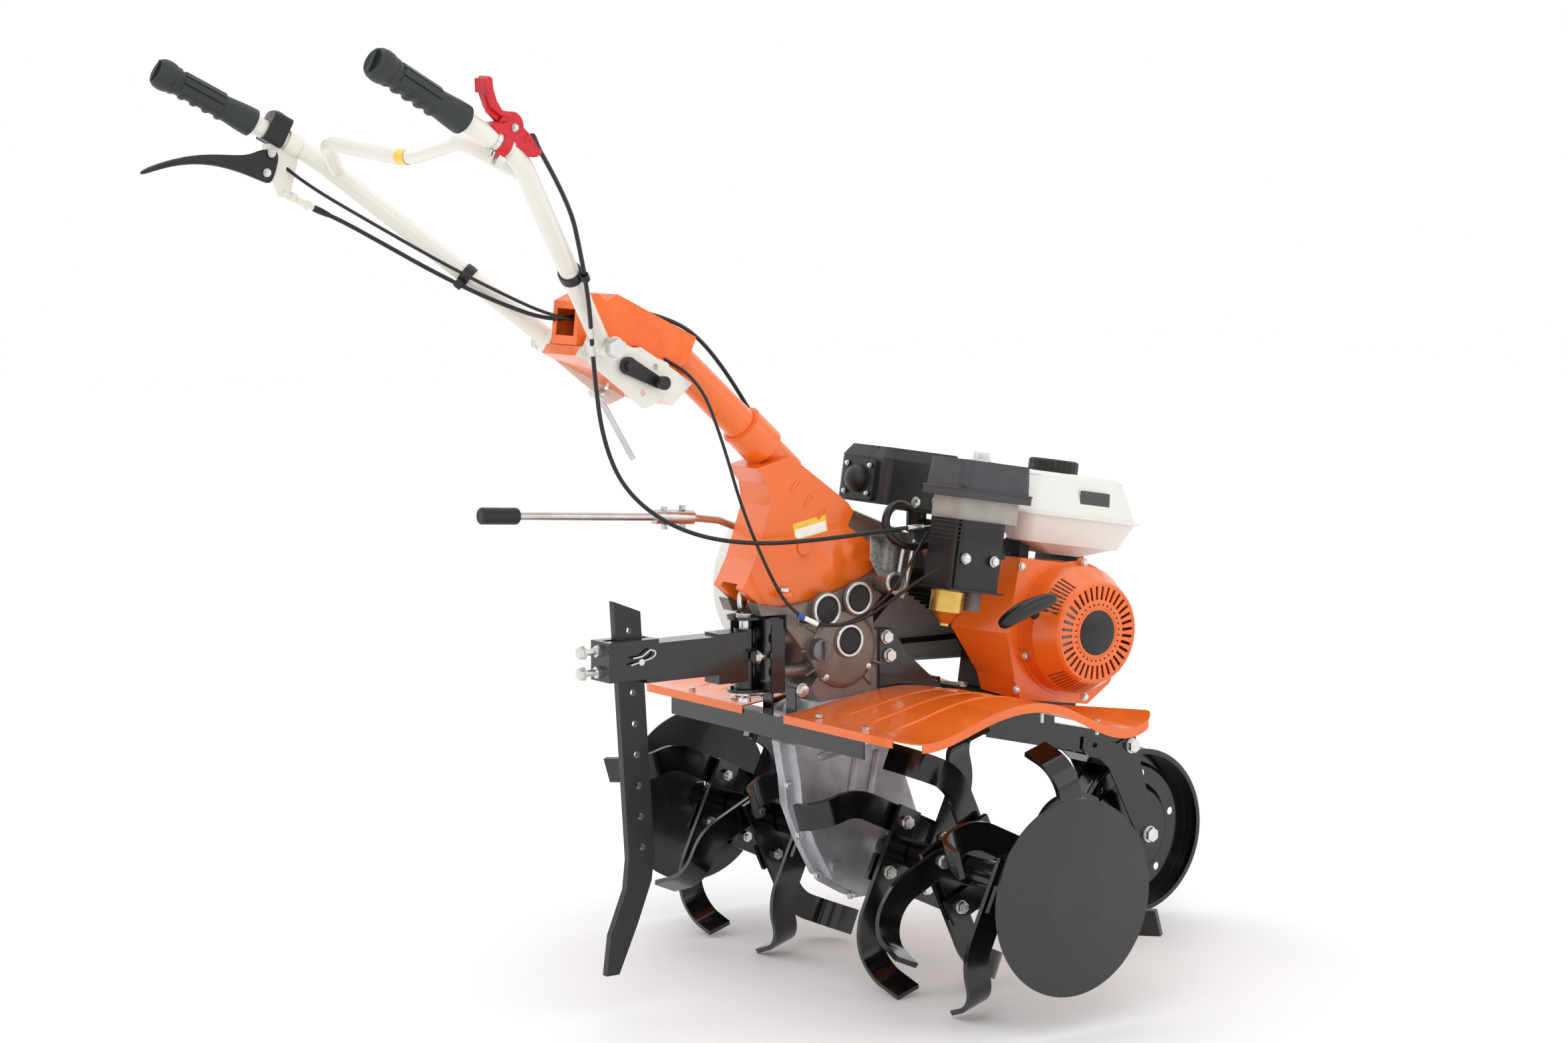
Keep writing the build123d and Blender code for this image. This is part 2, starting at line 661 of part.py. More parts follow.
def build_belt_drive():
    """V-belt, its cover and the idler that tightens it."""
    loop = ((INPUT[0], INPUT[1], DRIVEN_R - 10), (CRANK[0], CRANK[1], DRIVE_R - 10))
    belt = hull_slab(loop, 8, BELT_Y - 5, BELT_Y + 5) - hull_slab(loop, 0, BELT_Y - 6, BELT_Y + 6)
    nodes["drive_belt"] = belt

    cover = hull_slab(COVER, 0, 62, 120) - hull_slab(COVER, -2, 50, 118)
    for x, z in COVER_BOLTS:
        cover -= y_rod(x, z, 100, 130, 4.2)
    slot = block(-206, -199, 86, 93, 640, 690)
    cover -= slot
    nodes["belt_cover"] = cover
    bolts = []
    ends = (38, 58)
    for (x, z), y in zip(COVER_BOLTS, ends):
        bolts.append(bolt((x, 120, z), (0, -1, 0), 120 - y, 8))
        bolts.append(y_rod(x, z, y, 118, 8, 4))
    nodes["cover_bolts"] = group(bolts)

    (x, z), (px, pz) = TENSION, TENSION_PIVOT
    arm = rod((px, 66, pz), (px, 70, pz), 14) + rod((x, 66, z), (x, 70, z), 12)
    along = Plane(origin=(px, 70, pz), x_dir=(x - px, 0, z - pz), z_dir=(0, -1, 0))
    arm += extrude(along * Pos(60, 0) * Rectangle(122, 18), amount=4)
    arm += y_rod(x, z, 70, 94, 5) + y_rod(px, pz, 48.3, 66, 8)
    arm -= y_rod(px, pz, 40, 80, 4.05)
    nodes["tension_arm"] = arm
    nodes["tension_bolt"] = bolt((px, 70.3, pz), (0, -1, 0), 26, 8)
    idler = y_rod(x, z, 75, 91, 22, 5.05)
    nodes["tension_pulley"] = idler
    nodes["frame_rails"] = group([s - y_rod(px, pz, 30, 60, 4) for s in nodes["frame_rails"].solids()])


# ---------------------------------------------------------------- hitch and drag bar


def build_hitch():
    """Rear bracket, swinging holder, drag bar and the pins and bolts between them."""
    x = HITCH_X
    bracket = block(-203, -197, -45, 45, 482, 598)
    bracket += block(-235, -203, 42, 45, 487, 593) + block(-222, -203, -45, -42, 487, 593)
    for z in (482, 593):
        lug = rod((x, 0, z), (x, 0, z + 5), 28) + block(x, -203, -28, 28, z, z + 5)
        lug += block(-225, -203, -45, 45, z, z + 5)
        bracket += lug
    bracket -= rod((x, 0, 470), (x, 0, 610), HITCH_PIN_R)
    bolts = []
    for z in (563, 512):
        for y in (-30, 30):
            bracket -= rod((-210, y, z), (-190, y, z), 5)
            bolts.append(bolt((-203, y, z), (1, 0, 0), 26, 10))
    bracket -= rod((-210, -30, 538), (-190, -30, 538), 5)
    stop = bolt((-236.5, -30, 538), (1, 0, 0), 39.5, 10, nut_at=25)
    nodes["hitch_bracket"] = bracket
    for z in (563, 512):
        for y in (-30, 30):
            nodes["gearbox"] -= rod((-200, y, z), (-176, y, z), 5)
    nodes["hitch_bolts"] = group(bolts + [stop])

    pin = rod((x, 0, 466), (x, 0, 600), HITCH_PIN_R) + rod((x, 0, 598), (x, 0, 602), 14)
    ring = Pos(x, 0, 622) * Rot(90, 30, 0) * Torus(18, 4.5)
    clip = Pos(x, 0, 474) * Rot(90, 0, 0) * r_clip((0, 0, 0), wire=1.6)
    nodes["hitch_pin"] = pin + ring + clip

    holder = rod((x, 0, 487.3), (x, 0, 579), 17)
    holder += block(-300, x - 8, -19, 19, 500, 576)
    arm = block(-432, -300, -22, 22, 515, 573) - block(-430, -303, -19, 19, 518, 570)
    holder += arm + block(-303, -300, -22, 22, 515, 573)
    sleeve = block(-499, -412, -25, 25, 521, 580)
    sleeve -= block(-492, -418, -7, 7, 500, 600)
    holder += sleeve
    holder -= rod((x, 0, 480), (x, 0, 600), HITCH_PIN_R + 0.05)
    holder -= block(-492, -418, -7, 7, 500, 600)
    for z in (566, 535):
        holder -= rod((-510, 0, z), (-480, 0, z), 5)
    holder -= y_rod(-448, 549, -40, 40, 5.5)
    nodes["bar_holder"] = holder

    tips = []
    for z, reach in ((566, 52.3), (535, 54.3)):
        tips.append(bolt((-528, 0, z), (1, 0, 0), reach, 10, nut_at=20.8))
    pin = y_rod(-448, 549, -34, 27, 5) + y_rod(-448, 549, 25, 30, 8)
    clip = Pos(-448, -31, 549) * Rot(0, -12, 0) * r_clip((0, 0, 0), wire=1.5)
    nodes["bar_pins"] = group(tips + [pin + clip])

    thick = 12.0
    outline = [
        (-479, 638), (-432, 620), (-409, 255), (-414, 215), (-440, 150), (-472, 80),
        (-494, 80), (-486, 140), (-459, 205), (-454, 250),
    ]
    bar = slab(outline, -thick / 2, thick / 2)
    for k in range(8):
        z = 593 - 46.6 * k
        bar -= y_rod(-451 + 21 * (593 - z) / 327, z, -10, 10, 5.5)
    bar -= y_rod(-448, 549, -10, 10, 5.5)
    nodes["drag_bar"] = bar


def build_gear_lever():
    """Gear rod from the gearbox back to its grip, with a coupling and two set bolts."""
    y = 60
    front = bent_rod([(-199, y, 719), (-246, y, 737), (-300, y, 745), (-340, y, 748)], [30, 60], 6)
    rear = rod((-340, y, 748), (-640, y, 768.5), 6)
    shaft = front + rear
    coupling = rod((-363, y, 749.6), (-294, y, 744.6), 11)
    for x in (-345, -312):
        coupling += hex_prism((x, y, 757), (0, 0, 1), 10, 7) + hex_prism((x, y, 737), (0, 0, -1), 10, 7)
    shaft += coupling
    shaft += y_rod(*GEAR_PIVOT, 20, y, 7) + y_rod(*GEAR_PIVOT, 38.4, 52, 11)
    nodes["column_casting"] -= y_rod(*GEAR_PIVOT, 10, 60, 7.05)
    nodes["gear_lever"] = shaft
    grip = rod((-601, y, 765.8), (-665, y, 770.2), 12.5)
    nodes["gear_grip"] = fillet(grip.edges(), 4) - shaft


# ---------------------------------------------------------------- column and handlebar


def build_column():
    """Column tube, head with its two side plates, and the plastic head cover."""
    column_r = COLUMN_D / 2
    nodes["column_tube"] = rod(COLUMN_TOP, COLUMN_FOOT, column_r, column_r - COLUMN_WALL)
    core = slab(HEAD_CORE, -45, 45)
    core -= rod(COLUMN_TOP, COLUMN_FOOT, COLUMN_D / 2)
    core -= y_rod(*PIVOT, -60, 60, 8)
    nodes["column_head"] = core
    plate = slab(HEAD_PLATE, -45, -50, 5)
    plate -= y_rod(*PIVOT, -40, -60, 8)
    plate -= y_rod(*LATCH[0], -40, -60, 7)
    for x, z in ((-433, 982), (-455, 946), LATCH[1]):
        plate -= y_rod(x, z, -40, -60, 4.5)
    far = mirrored(plate) - y_rod(*CLAMP, 28, 60, 5)
    nodes["head_plates"] = group([plate, far])
    nodes["column_head"] = nodes["column_head"] - y_rod(*LATCH[0], -60, -18, 7)
    nodes["column_head"] -= y_rod(*CLAMP, 28, 60, 5)
    nodes["pivot_bolt"] = bolt((PIVOT[0], -94.3, PIVOT[1]), (0, 1, 0), 206, 16, nut_at=188.6)

    shell = slab(HEAD_COVER, -34, 34)
    inner = offset(make_face(Polyline(*[(x, 0, z) for x, z in HEAD_COVER], close=True)), amount=-2.5)
    shell -= Pos(0, 31.5, 0) * extrude(inner, amount=63, dir=(0, -1, 0))
    shell -= slab([(-553, 1010), (-556, 1030), (-470, 1030), (-420, 1002), (-395, 970)], -31.5, 31.5)
    shell -= block(-600, -540, -24, 24, 1030, 1068)
    shell -= rod(COLUMN_TOP, COLUMN_FOOT, COLUMN_D / 2)
    shell -= y_rod(*PIVOT, -60, 60, 8)
    nodes["head_cover"] = shell - nodes["column_head"] - rod(COLUMN_TOP, COLUMN_FOOT, 26)


def bar_frame(x, side):
    """Placement on the handlebar near one grip: local X runs down the tube, local Z points up."""
    a, b = vec(GRIP_OUTER), vec(BAR_BEND)
    a.Y, b.Y = side * a.Y, side * b.Y
    share = (x - a.X) / (b.X - a.X)
    along = (b - a).normalized()
    at = a + (b - a) * share
    across = Vector(0, 1, 0)
    up = along.cross(across)
    up = up if up.Z > 0 else -up
    return Plane(origin=at, x_dir=along, z_dir=up).location


def build_handlebar():
    """Bent handlebar tube with its cross hoop, grips and foot hubs."""
    outer = TUBE_D / 2
    half = bent_rod([GRIP_OUTER, BAR_BEND, (PIVOT[0], 66, PIVOT[1])], [120], outer, outer - TUBE_WALL)
    half -= block(-700, -400, -20, 52, 900, 1200)
    half += y_rod(*PIVOT, 50.3, 62, 19) + y_rod(*PIVOT, 50.3, 94, 13)
    half -= y_rod(*PIVOT, 40, 100, 8.05)
    right = mirrored(half)
    hoop_points = [
        (-779, 262, 1261), (-836, 190, 1306), (-811, 0, 1282), (-836, -190, 1306), (-779, -262, 1261),
    ]
    hoop = bent_rod(hoop_points, [45, 260, 45], 11)
    whole = half + right + hoop
    nodes["handlebar"] = whole

    grips = []
    for side in (1, -1):
        a, bend = vec(GRIP_OUTER), vec(BAR_BEND)
        a.Y, bend.Y = side * a.Y, side * bend.Y
        along = (bend - a).normalized()
        b = a + along * GRIP_LENGTH
        grip = rod(a - along * 4, b, 19.5) + rod(b - along * 8, b, 24)
        grips.append(grip - rod(a, b + along * 10, TUBE_D / 2))
    nodes["grips"] = group(grips)

    (x, z), (kx, kz) = LATCH
    lever = rod((x, -53.3, z), (x, -59, z), 13) + y_rod(kx, kz, -53.3, -59, 8.5)
    along = Plane(origin=(x, -53.3, z), x_dir=(kx - x, 0, kz - z), z_dir=(0, -1, 0))
    reach = hypot(kx - x, kz - z)
    bar = make_face(Polyline((0, 12.5), (reach, 8), (reach, -8), (0, -12.5), close=True))
    lever += extrude(along * bar, amount=5.7)
    lever += y_rod(x, z, -20, -64, 6.93) + y_rod(kx, kz, -50.4, -74, 4)
    lever += y_rod(kx, kz, -66, -74, 10)
    nodes["height_lever"] = lever
    rod_a, rod_b = (-465, 58, 941), (-402, 58, 839)
    clamp = rod(rod_a, rod_b, 4.5) + y_rod(*CLAMP, 50.4, 66, 9) + y_rod(*CLAMP, 30, 52, 4.93)
    nodes["clamp_rod"] = clamp


# ---------------------------------------------------------------- hand controls


def build_controls():
    """Throttle on the right grip; stop switch and clutch lever on the left grip."""
    right = bar_frame(-836, -1)
    base = Pos(0, 0, 15) * Box(44, 22, 14) + Rot(0, 90, 0) * Cylinder(17, 16)
    base += Pos(0, 0, 26) * Rot(90, 0, 0) * Cylinder(20, 15)
    base += Pos(30, 0, 19) * Rot(0, 90, 0) * Cylinder(6, 34)
    axle = Pos(0, 0, 26) * Rot(90, 0, 0)
    base -= axle * Cylinder(16, 6.6)
    base -= Pos(-12, 0, 44) * Box(60, 6.6, 36)
    base -= Rot(0, 90, 0) * Cylinder(TUBE_D / 2, 200)
    base += axle * Cylinder(4, 15)
    nodes["throttle_housing"] = right * base - nodes["handlebar"]
    lever = axle * (Cylinder(15.5, 6) - Cylinder(4.05, 10))
    lever += Pos(-14, 0, 46) * Rot(0, -22, 0) * Box(12, 6, 44)
    lever += Pos(-28, 0, 72) * Rot(0, -44, 0) * Box(12, 15, 30)
    lever -= axle * Cylinder(4.05, 30)
    nodes["throttle_lever"] = right * lever

    left = bar_frame(-866, 1)
    body = Pos(0, 0, 7.5) * Box(30, 38, 46)
    body = fillet(body.edges().filter_by(Axis.X), 8)
    body -= Rot(0, 90, 0) * Cylinder(TUBE_D / 2, 200)
    body -= Pos(0, 0, 28) * Box(19, 13, 9)
    nodes["switch_housing"] = left * body - nodes["handlebar"]
    rocker = Pos(0, 0, 29) * Box(17.6, 12, 8) - Pos(0, 0, 35) * Rot(0, 10, 0) * Box(30, 20, 4)
    rocker += Pos(0, 0, 29) * Rot(90, 0, 0) * Cylinder(1.5, 12.8)
    nodes["switch_rocker"] = left * rocker

    clamp = bar_frame(-838, 1) * (Rot(0, 90, 0) * (Cylinder(17, 22) - Cylinder(TUBE_D / 2, 30)))
    plate = slab(
        [(-886, 1303), (-862, 1306), (-846, 1300), (-828, 1290), (-845, 1225), (-862, 1228), (-884, 1282)],
        285, 288,
    )
    adjust = rod((-856, 286.5, 1234), (-804, 286.5, 1210), 4)
    adjust += rod((-844, 286.5, 1228.5), (-836, 286.5, 1224.8), 7)
    bracket = clamp + plate + adjust - nodes["handlebar"] - nodes["switch_housing"]
    nodes["clutch_bracket"] = max(bracket.solids(), key=lambda s: s.volume)
    outline = [
        (-866, 1290), (-879, 1299), (-992, 1290), (-1075, 1270), (-1080, 1262), (-1072, 1257),
        (-1017, 1272), (-908, 1277), (-897, 1256), (-889, 1243), (-879, 1247), (-866, 1284),
    ]
    lever = slab(outline, 279, 294, 2)
    lever -= slab([(-910, 1320), (-850, 1320), (-850, 1230), (-910, 1230)], 284.7, 288.3)
    nodes["clutch_lever"] = lever - y_rod(-876, 1292, 270, 300, 4.05)
    nodes["clutch_bracket"] += y_rod(-876, 1292, 278, 296, 4)


# ---------------------------------------------------------------- cables


def build_cables():
    """Throttle cable, clutch cable and the stop-switch lead."""
    nodes["throttle_cable"] = cable(THROTTLE_RUN)
    nodes["clutch_cable"] = cable(CLUTCH_RUN)
    nodes["switch_lead"] = cable(SWITCH_RUN, 5.0)


# ---------------------------------------------------------------- engine


def build_engine():
    """Engine block, starter, fuel tank, air cleaner, carburettor and muffler."""
    body = y_rod(0, 0, -58, 58, 86)
    body += block(-75, 56, -42, 42, -128, 0)
    body += block(-150, 100, -50, 50, -131, -112)
    tilt = Rot(0, 25 + 180, 0)
    cylinder = Pos(110, 0, 0) * Box(120, 104, 104)
    for k in range(8):
        cylinder += Pos(92 + 14 * k, 0, 0) * Box(4, 112, 124)
    cylinder += Pos(204, 0, 0) * Box(22, 108, 112) + Pos(228, 0, 0) * Box(30, 84, 84)
    body += tilt * cylinder
    body += y_rod(0, 0, 58, 68, 26)
    plate = [(-110, 92), (20, 96), (78, 70), (100, 20), (100, -50), (94, -74), (54, -108), (-84, -108)]
    body += slab(plate, -58, -62)
    body -= y_rod(0, 0, -90, 90, 12.05)
    for y in (-34, 34):
        for lx in (-128, 84):
            body -= rod((lx, y, -140), (lx, y, -100), 4.5)
    nodes["engine_block"] = on_engine(body)
    for y in (-34, 34):
        for lx in (-128, 84):
            hole = on_engine(rod((lx, y, -160), (lx, y, -100), 4.5))
            nodes["engine_bed"] -= hole

    nodes["crankshaft"] = on_engine(y_rod(0, 0, -122, 104, 12))
    fly = y_rod(0, 0, -112, -92, 88, 12) + y_rod(0, 0, -118, -112, 40, 12)
    for k in range(16):
        turn = Rot(0, 22.5 * k, 0)
        fly += turn * block(48, 84, -120, -112, -2, 2)
    nodes["flywheel"] = on_engine(fly)
    drive = v_pulley(DRIVE_R, BELT_Y) - y_rod(0, 0, 0, 200, 12)
    nodes["drive_pulley"] = on_engine(drive)

    build_shroud()
    build_starter()
    build_tank()
    build_intake()
    build_muffler()


def shroud_shape(front_y, back_y, shrink):
    """Ruled body between the two outlines of the fan shroud."""
    faces = []
    for outline, y in ((SHROUD_FRONT, front_y), (SHROUD_BACK, back_y)):
        points = [(x * shrink, y, z * shrink) for x, z in outline]
        faces.append(make_face(Polyline(*points, close=True)))
    return loft(faces, ruled=True)


def build_shroud():
    """Sheet-metal fan shroud between the block and the starter."""
    shroud = shroud_shape(-126, -62, 1.0) - shroud_shape(-123.5, -61, 0.975)
    shroud -= y_rod(0, 0, -140, -110, 88)
    nodes["fan_shroud"] = on_engine(shroud)


def build_starter():
    """Recoil starter housing and its T-handle."""
    outside = Polyline(
        (0, -190), (76, -190), (80, -188), (100, -152), (101, -128.5), (106, -128.5), (106, -126),
        (98, -126), (97.5, -151), (77.5, -187.5), (0, -187.5), close=True,
    )
    housing = revolve(make_face(outside), Axis.Y)
    for k in range(36):
        slot = block(52, 73, -195, -180, -2.3, 2.3)
        housing -= Rot(0, 10 * k, 0) * slot
    for start in (128, 232):
        for k in range(9):
            turn = Rot(0, -(start + 4.5 * k), 0)
            housing -= turn * block(82, 97, -192, -150, -1.6, 1.6)
    for k in range(3):
        angle = radians(120 * k + 208)
        lug = y_rod(104 * cos(angle), 104 * sin(angle), -134, -126, 8)
        housing += lug - y_rod(0, 0, -140, -120, 97)
    nodes["starter_housing"] = on_engine(housing)

    bar = bent_rod([(99, -195, 577), (150, -195, 597), (210, -195, 611)], [200], 11)
    rope_end = on_engine(Pos(-99, -146, 18) * Sphere(1)).center()
    middle = Vector(155, -195, 598)
    rope = rod(tuple(middle), tuple(rope_end), 2.2) - nodes["starter_housing"]
    handle = bar + max(rope.solids(), key=lambda s: s.volume)
    nodes["starter_handle"] = handle


def build_tank():
    """Pressed fuel tank with a seam flange, and its screw cap."""
    lower = tapered((-88, 126, -88, 88), (-104, 142, -104, 104), 128, 172, 26)
    sump = tapered((-20, 70, -60, 60), (-70, 116, -84, 84), 111, 128, 20)
    flange = tapered((-111, 149, -110, 110), (-111, 149, -110, 110), 172, 176, 30)
    upper = tapered((-104, 142, -104, 104), (-84, 122, -84, 84), 176, 234, 26)
    crown = tapered((-84, 122, -84, 84), (-74, 112, -76, 76), 234, 240, 22)
    neck = Pos(14, -20, 242) * Cylinder(28, 10)
    feet = block(-60, -40, -50, 50, 60, 128) + block(60, 76, -50, 50, 30, 128)
    tank = lower + sump + flange + upper + crown + neck
    tank -= tapered((-16, 66, -56, 56), (-66, 112, -80, 80), 114, 128.5, 18)
    tank -= tapered((-84, 122, -84, 84), (-100, 138, -100, 100), 128.4, 174, 22)
    tank -= tapered((-100, 138, -100, 100), (-81, 119, -81, 81), 173.9, 236, 22)
    nodes["fuel_tank"] = on_engine(tank)
    feet -= lower + sump
    nodes["engine_block"] = nodes["engine_block"] + on_engine(feet)
    cap = Pos(14, -20, 251) * Cylinder(40, 20)
    cap = fillet(cap.faces().sort_by(Axis.Z)[-1].edges(), 5) - Pos(14, -20, 244) * Cylinder(28.05, 7)
    for k in range(24):
        angle = 2 * pi * k / 24
        cap -= Pos(14 + 41 * cos(angle), -20 + 41 * sin(angle), 253) * Cylinder(2, 30)
    nodes["fuel_cap"] = on_engine(cap)


def build_intake():
    """Air cleaner, carburettor, its cover and two small levers."""
    base = tapered((-285, -170, -172, -90), (-285, -170, -172, -90), 150, 183, 12)
    base -= tapered((-282, -173, -169, -93), (-282, -173, -169, -93), 153, 190, 10)
    nodes["cleaner_base"] = on_engine(base)
    lid = tapered((-300, -156, -185, -78), (-300, -156, -185, -78), 183, 197, 14)
    lid += tapered((-297, -159, -182, -81), (-294, -162, -179, -84), 197, 241, 16)
    lid -= tapered((-295, -161, -180, -83), (-295, -161, -180, -83), 180, 200, 10)
    nodes["cleaner_lid"] = on_engine(lid)
    wing = Pos(-228, -131, 243) * Cylinder(14, 3) + Pos(-228, -131, 248) * Cylinder(6, 8)
    wing += Pos(-228, -131, 250) * Box(30, 3, 10)
    nodes["cleaner_nut"] = on_engine(wing - Pos(-228, -131, 235) * Box(60, 60, 13))

    body = block(-272, -228, -166, -112, 48, 150)
    body += y_rod(-240, 96, -114, -54, 18)
    body += Pos(-272, -146, 24) * Cylinder(26, 32) + Pos(-272, -146, 45) * Cylinder(20, 10)
    cone = Pos(-272, -146, -1) * Cone(10, 24, 18)
    body += cone + Pos(-272, -146, -14) * extrude(RegularPolygon(7, 6), amount=6)
    body += Pos(-218, -140, 27) * Cylinder(13, 30) + block(-245, -205, -152, -128, 42, 50)
    body -= block(-400, 0, -60, 0, 0, 60)
    cover = block(-294, -205, -180, -110, 45, 150)
    cover = fillet(cover.edges().filter_by(Axis.Z).group_by(Axis.X)[0].group_by(Axis.Y)[0], 14)
    cover -= block(-291, -208, -177, -100, 40, 160)
    cover += block(-302, -196, -186, -108, 42, 45) - block(-296, -203, -172, -100, 40, 50)
    for x, z in ((-222, 92), (-278, 92)):
        cover += y_rod(x, z, -180, -184, 8)
    for z in (126, 101):
        cover += rod((-205, -146, z), (-203, -146, z), 9)
        cover -= rod((-210, -146, z), (-190, -146, z), 4.05)
    carb = on_engine(body - cover)
    nodes["carb_cover"] = on_engine(cover)
    nodes["carburettor"] = carb - nodes["engine_block"]
    for name, z, length in (("choke_lever", 126, 24), ("fuel_tap_lever", 101, 30)):
        lever = rod((-212, -146, z), (-198, -146, z), 4)
        lever += block(-202.5, -198, -146 - length, -140, z - 5, z + 5)
        lever += rod((-216, -146, z), (-208.3, -146, z), 6)
        if name == "fuel_tap_lever":
            lever += block(-200, -180, -160, -150, z - 5, z + 5)
        nodes[name] = on_engine(lever)
    nodes["carburettor"] -= on_engine(block(-230, -205, -160, -132, 90, 140))


def build_muffler():
    """Box muffler with a domed guard plate on its rear face, and its exhaust stub."""
    body = tapered((-302, -144, 2, 128), (-302, -144, 2, 128), 156, 228, 16)
    body += tapered((-302, -144, 2, 128), (-292, -152, 12, 118), 228, 246, 14)
    plate = block(-308, -302, 26, 104, 160, 224)
    plate = fillet(plate.edges().filter_by(Axis.X), 8)
    dome = Pos(-308, 65, 192) * Sphere(22)
    dome -= block(-308, -200, 0, 200, 100, 300)
    body += plate + dome
    for k in range(9):
        body -= Pos(-286 + 15 * k, 30, 240) * Rot(0, 0, 30) * Box(4, 30, 20)
    for y in (36, 94):
        for z in (170, 214):
            body += rod((-308, y, z), (-311, y, z), 4)
    body -= tapered((-299, -147, 5, 125), (-299, -147, 5, 125), 159, 226, 12)
    stub = rod((-205, 40, 158), (-200, 40, 120), 16) + block(-232, -178, 14, 66, 150, 157)
    nodes["muffler"] = on_engine(body + stub) - nodes["engine_block"]


# ---------------------------------------------------------------- export


def merge(name, *others):
    """Puts several small pieces that stay together into one node."""
    nodes[name] = group([nodes.pop(other) for other in (name, *others)])


def merge_small_pieces():
    """Collects the fasteners and the pieces that turn as one."""
    merge("frame_bolts", "fork_bolt", "pivot_bolt", "hitch_bolts", "cover_bolts", "tension_bolt")
    merge("frame_rails", "engine_bed", "rear_bar")
    merge("cleaner_lid", "cleaner_nut")
    merge("crankshaft", "flywheel", "drive_pulley")
    merge("driven_pulley", "input_shaft")
    merge("gear_lever", "gear_grip")
    merge("output_shaft", "rotor_half_right", "rotor_half_left")
    merge("column_head", "head_plates")


def main():
    """Builds every node, puts the origin under the middle of the whole and writes the files."""
    build_rotor()
    build_wheel()
    build_fenders()
    build_frame()
    build_gearbox()
    build_belt_drive()
    build_hitch()
    build_gear_lever()
    build_column()
    build_handlebar()
    build_controls()
    build_engine()
    build_cables()
    for lead in ("switch_lead", "clutch_cable"):
        for host in ("head_cover", "belt_cover", "switch_housing", "clutch_bracket"):
            nodes[host] -= nodes[lead]
    merge_small_pieces()
    os.makedirs("parts", exist_ok=True)
    boxes = [shape.bounding_box() for shape in nodes.values()]
    low = [min(getattr(b.min, a) for b in boxes) for a in "XYZ"]
    high = [max(getattr(b.max, a) for b in boxes) for a in "XYZ"]
    shift = Vector(-(low[0] + high[0]) / 2, -(low[1] + high[1]) / 2, -low[2])
    print("size", [round(h - l, 1) for l, h in zip(low, high)], "moved by", shift)
    for name, shape in nodes.items():
        export_step(shape.moved(Location(shift)), f"parts/{name}.step")
    return shift


if __name__ == "__main__":
    main()
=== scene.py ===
"""Looks of the petrol rotary tiller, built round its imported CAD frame.

Metres. +X is the way the machine travels, +Y is its left side, +Z is up.
Places are given in millimetres from the design's datum, the point under the rotor shaft,
or from the crankshaft for what sits on the sloping engine.
"""

import json
import math
import random

import bmesh
import bpy
from mathutils import Matrix, Vector


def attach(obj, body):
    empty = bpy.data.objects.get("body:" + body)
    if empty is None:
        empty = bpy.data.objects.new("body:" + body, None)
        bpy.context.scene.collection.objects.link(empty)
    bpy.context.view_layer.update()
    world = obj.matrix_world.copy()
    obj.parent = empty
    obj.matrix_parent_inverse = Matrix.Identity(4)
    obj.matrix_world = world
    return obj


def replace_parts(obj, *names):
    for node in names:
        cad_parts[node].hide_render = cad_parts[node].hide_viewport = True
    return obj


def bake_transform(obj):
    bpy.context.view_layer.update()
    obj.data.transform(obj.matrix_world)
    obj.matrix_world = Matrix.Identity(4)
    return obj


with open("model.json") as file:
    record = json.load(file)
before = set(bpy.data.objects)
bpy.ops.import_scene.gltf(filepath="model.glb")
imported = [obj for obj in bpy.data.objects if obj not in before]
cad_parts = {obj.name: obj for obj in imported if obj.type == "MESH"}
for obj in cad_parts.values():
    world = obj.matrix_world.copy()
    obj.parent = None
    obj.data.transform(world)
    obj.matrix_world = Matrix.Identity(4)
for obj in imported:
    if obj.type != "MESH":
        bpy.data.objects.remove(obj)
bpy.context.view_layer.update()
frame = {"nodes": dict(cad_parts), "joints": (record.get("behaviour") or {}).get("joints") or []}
random.seed(7)

MM = 0.001
ROTOR_HEIGHT = 220.0  # rotor shaft above the datum
CRANK = (298.5, 0.0, 547.5)
ENGINE_PITCH = 9.0  # degrees nose down
RIGHT = (0, -1, 0)  # outward on the machine's right side

joints = {joint["name"]: joint for joint in frame["joints"]}
DATUM = Vector(joints["rotor_spin"]["pos_m"]) - Vector((0, 0, ROTOR_HEIGHT * MM))


def at(x, y, z):
    """A point given in millimetres from the datum."""
    return DATUM + Vector((x, y, z)) * MM


ENGINE = Matrix.Translation(at(*CRANK)) @ Matrix.Rotation(math.radians(ENGINE_PITCH), 4, "Y")


def eng(x, y, z):
    """A point given in millimetres from the crankshaft, along the sloping engine."""
    return ENGINE @ (Vector((x, y, z)) * MM)


def eng_way(x, y, z):
    """A direction on the sloping engine."""
    return (ENGINE.to_3x3() @ Vector((x, y, z))).normalized()


# ---------------------------------------------------------------- materials


def srgb(r, g, b):
    """Linear colour from the usual 0 to 255 values."""
    parts = [c / 255 for c in (r, g, b)]
    return tuple(c / 12.92 if c <= 0.04045 else ((c + 0.055) / 1.055) ** 2.4 for c in parts) + (1.0,)


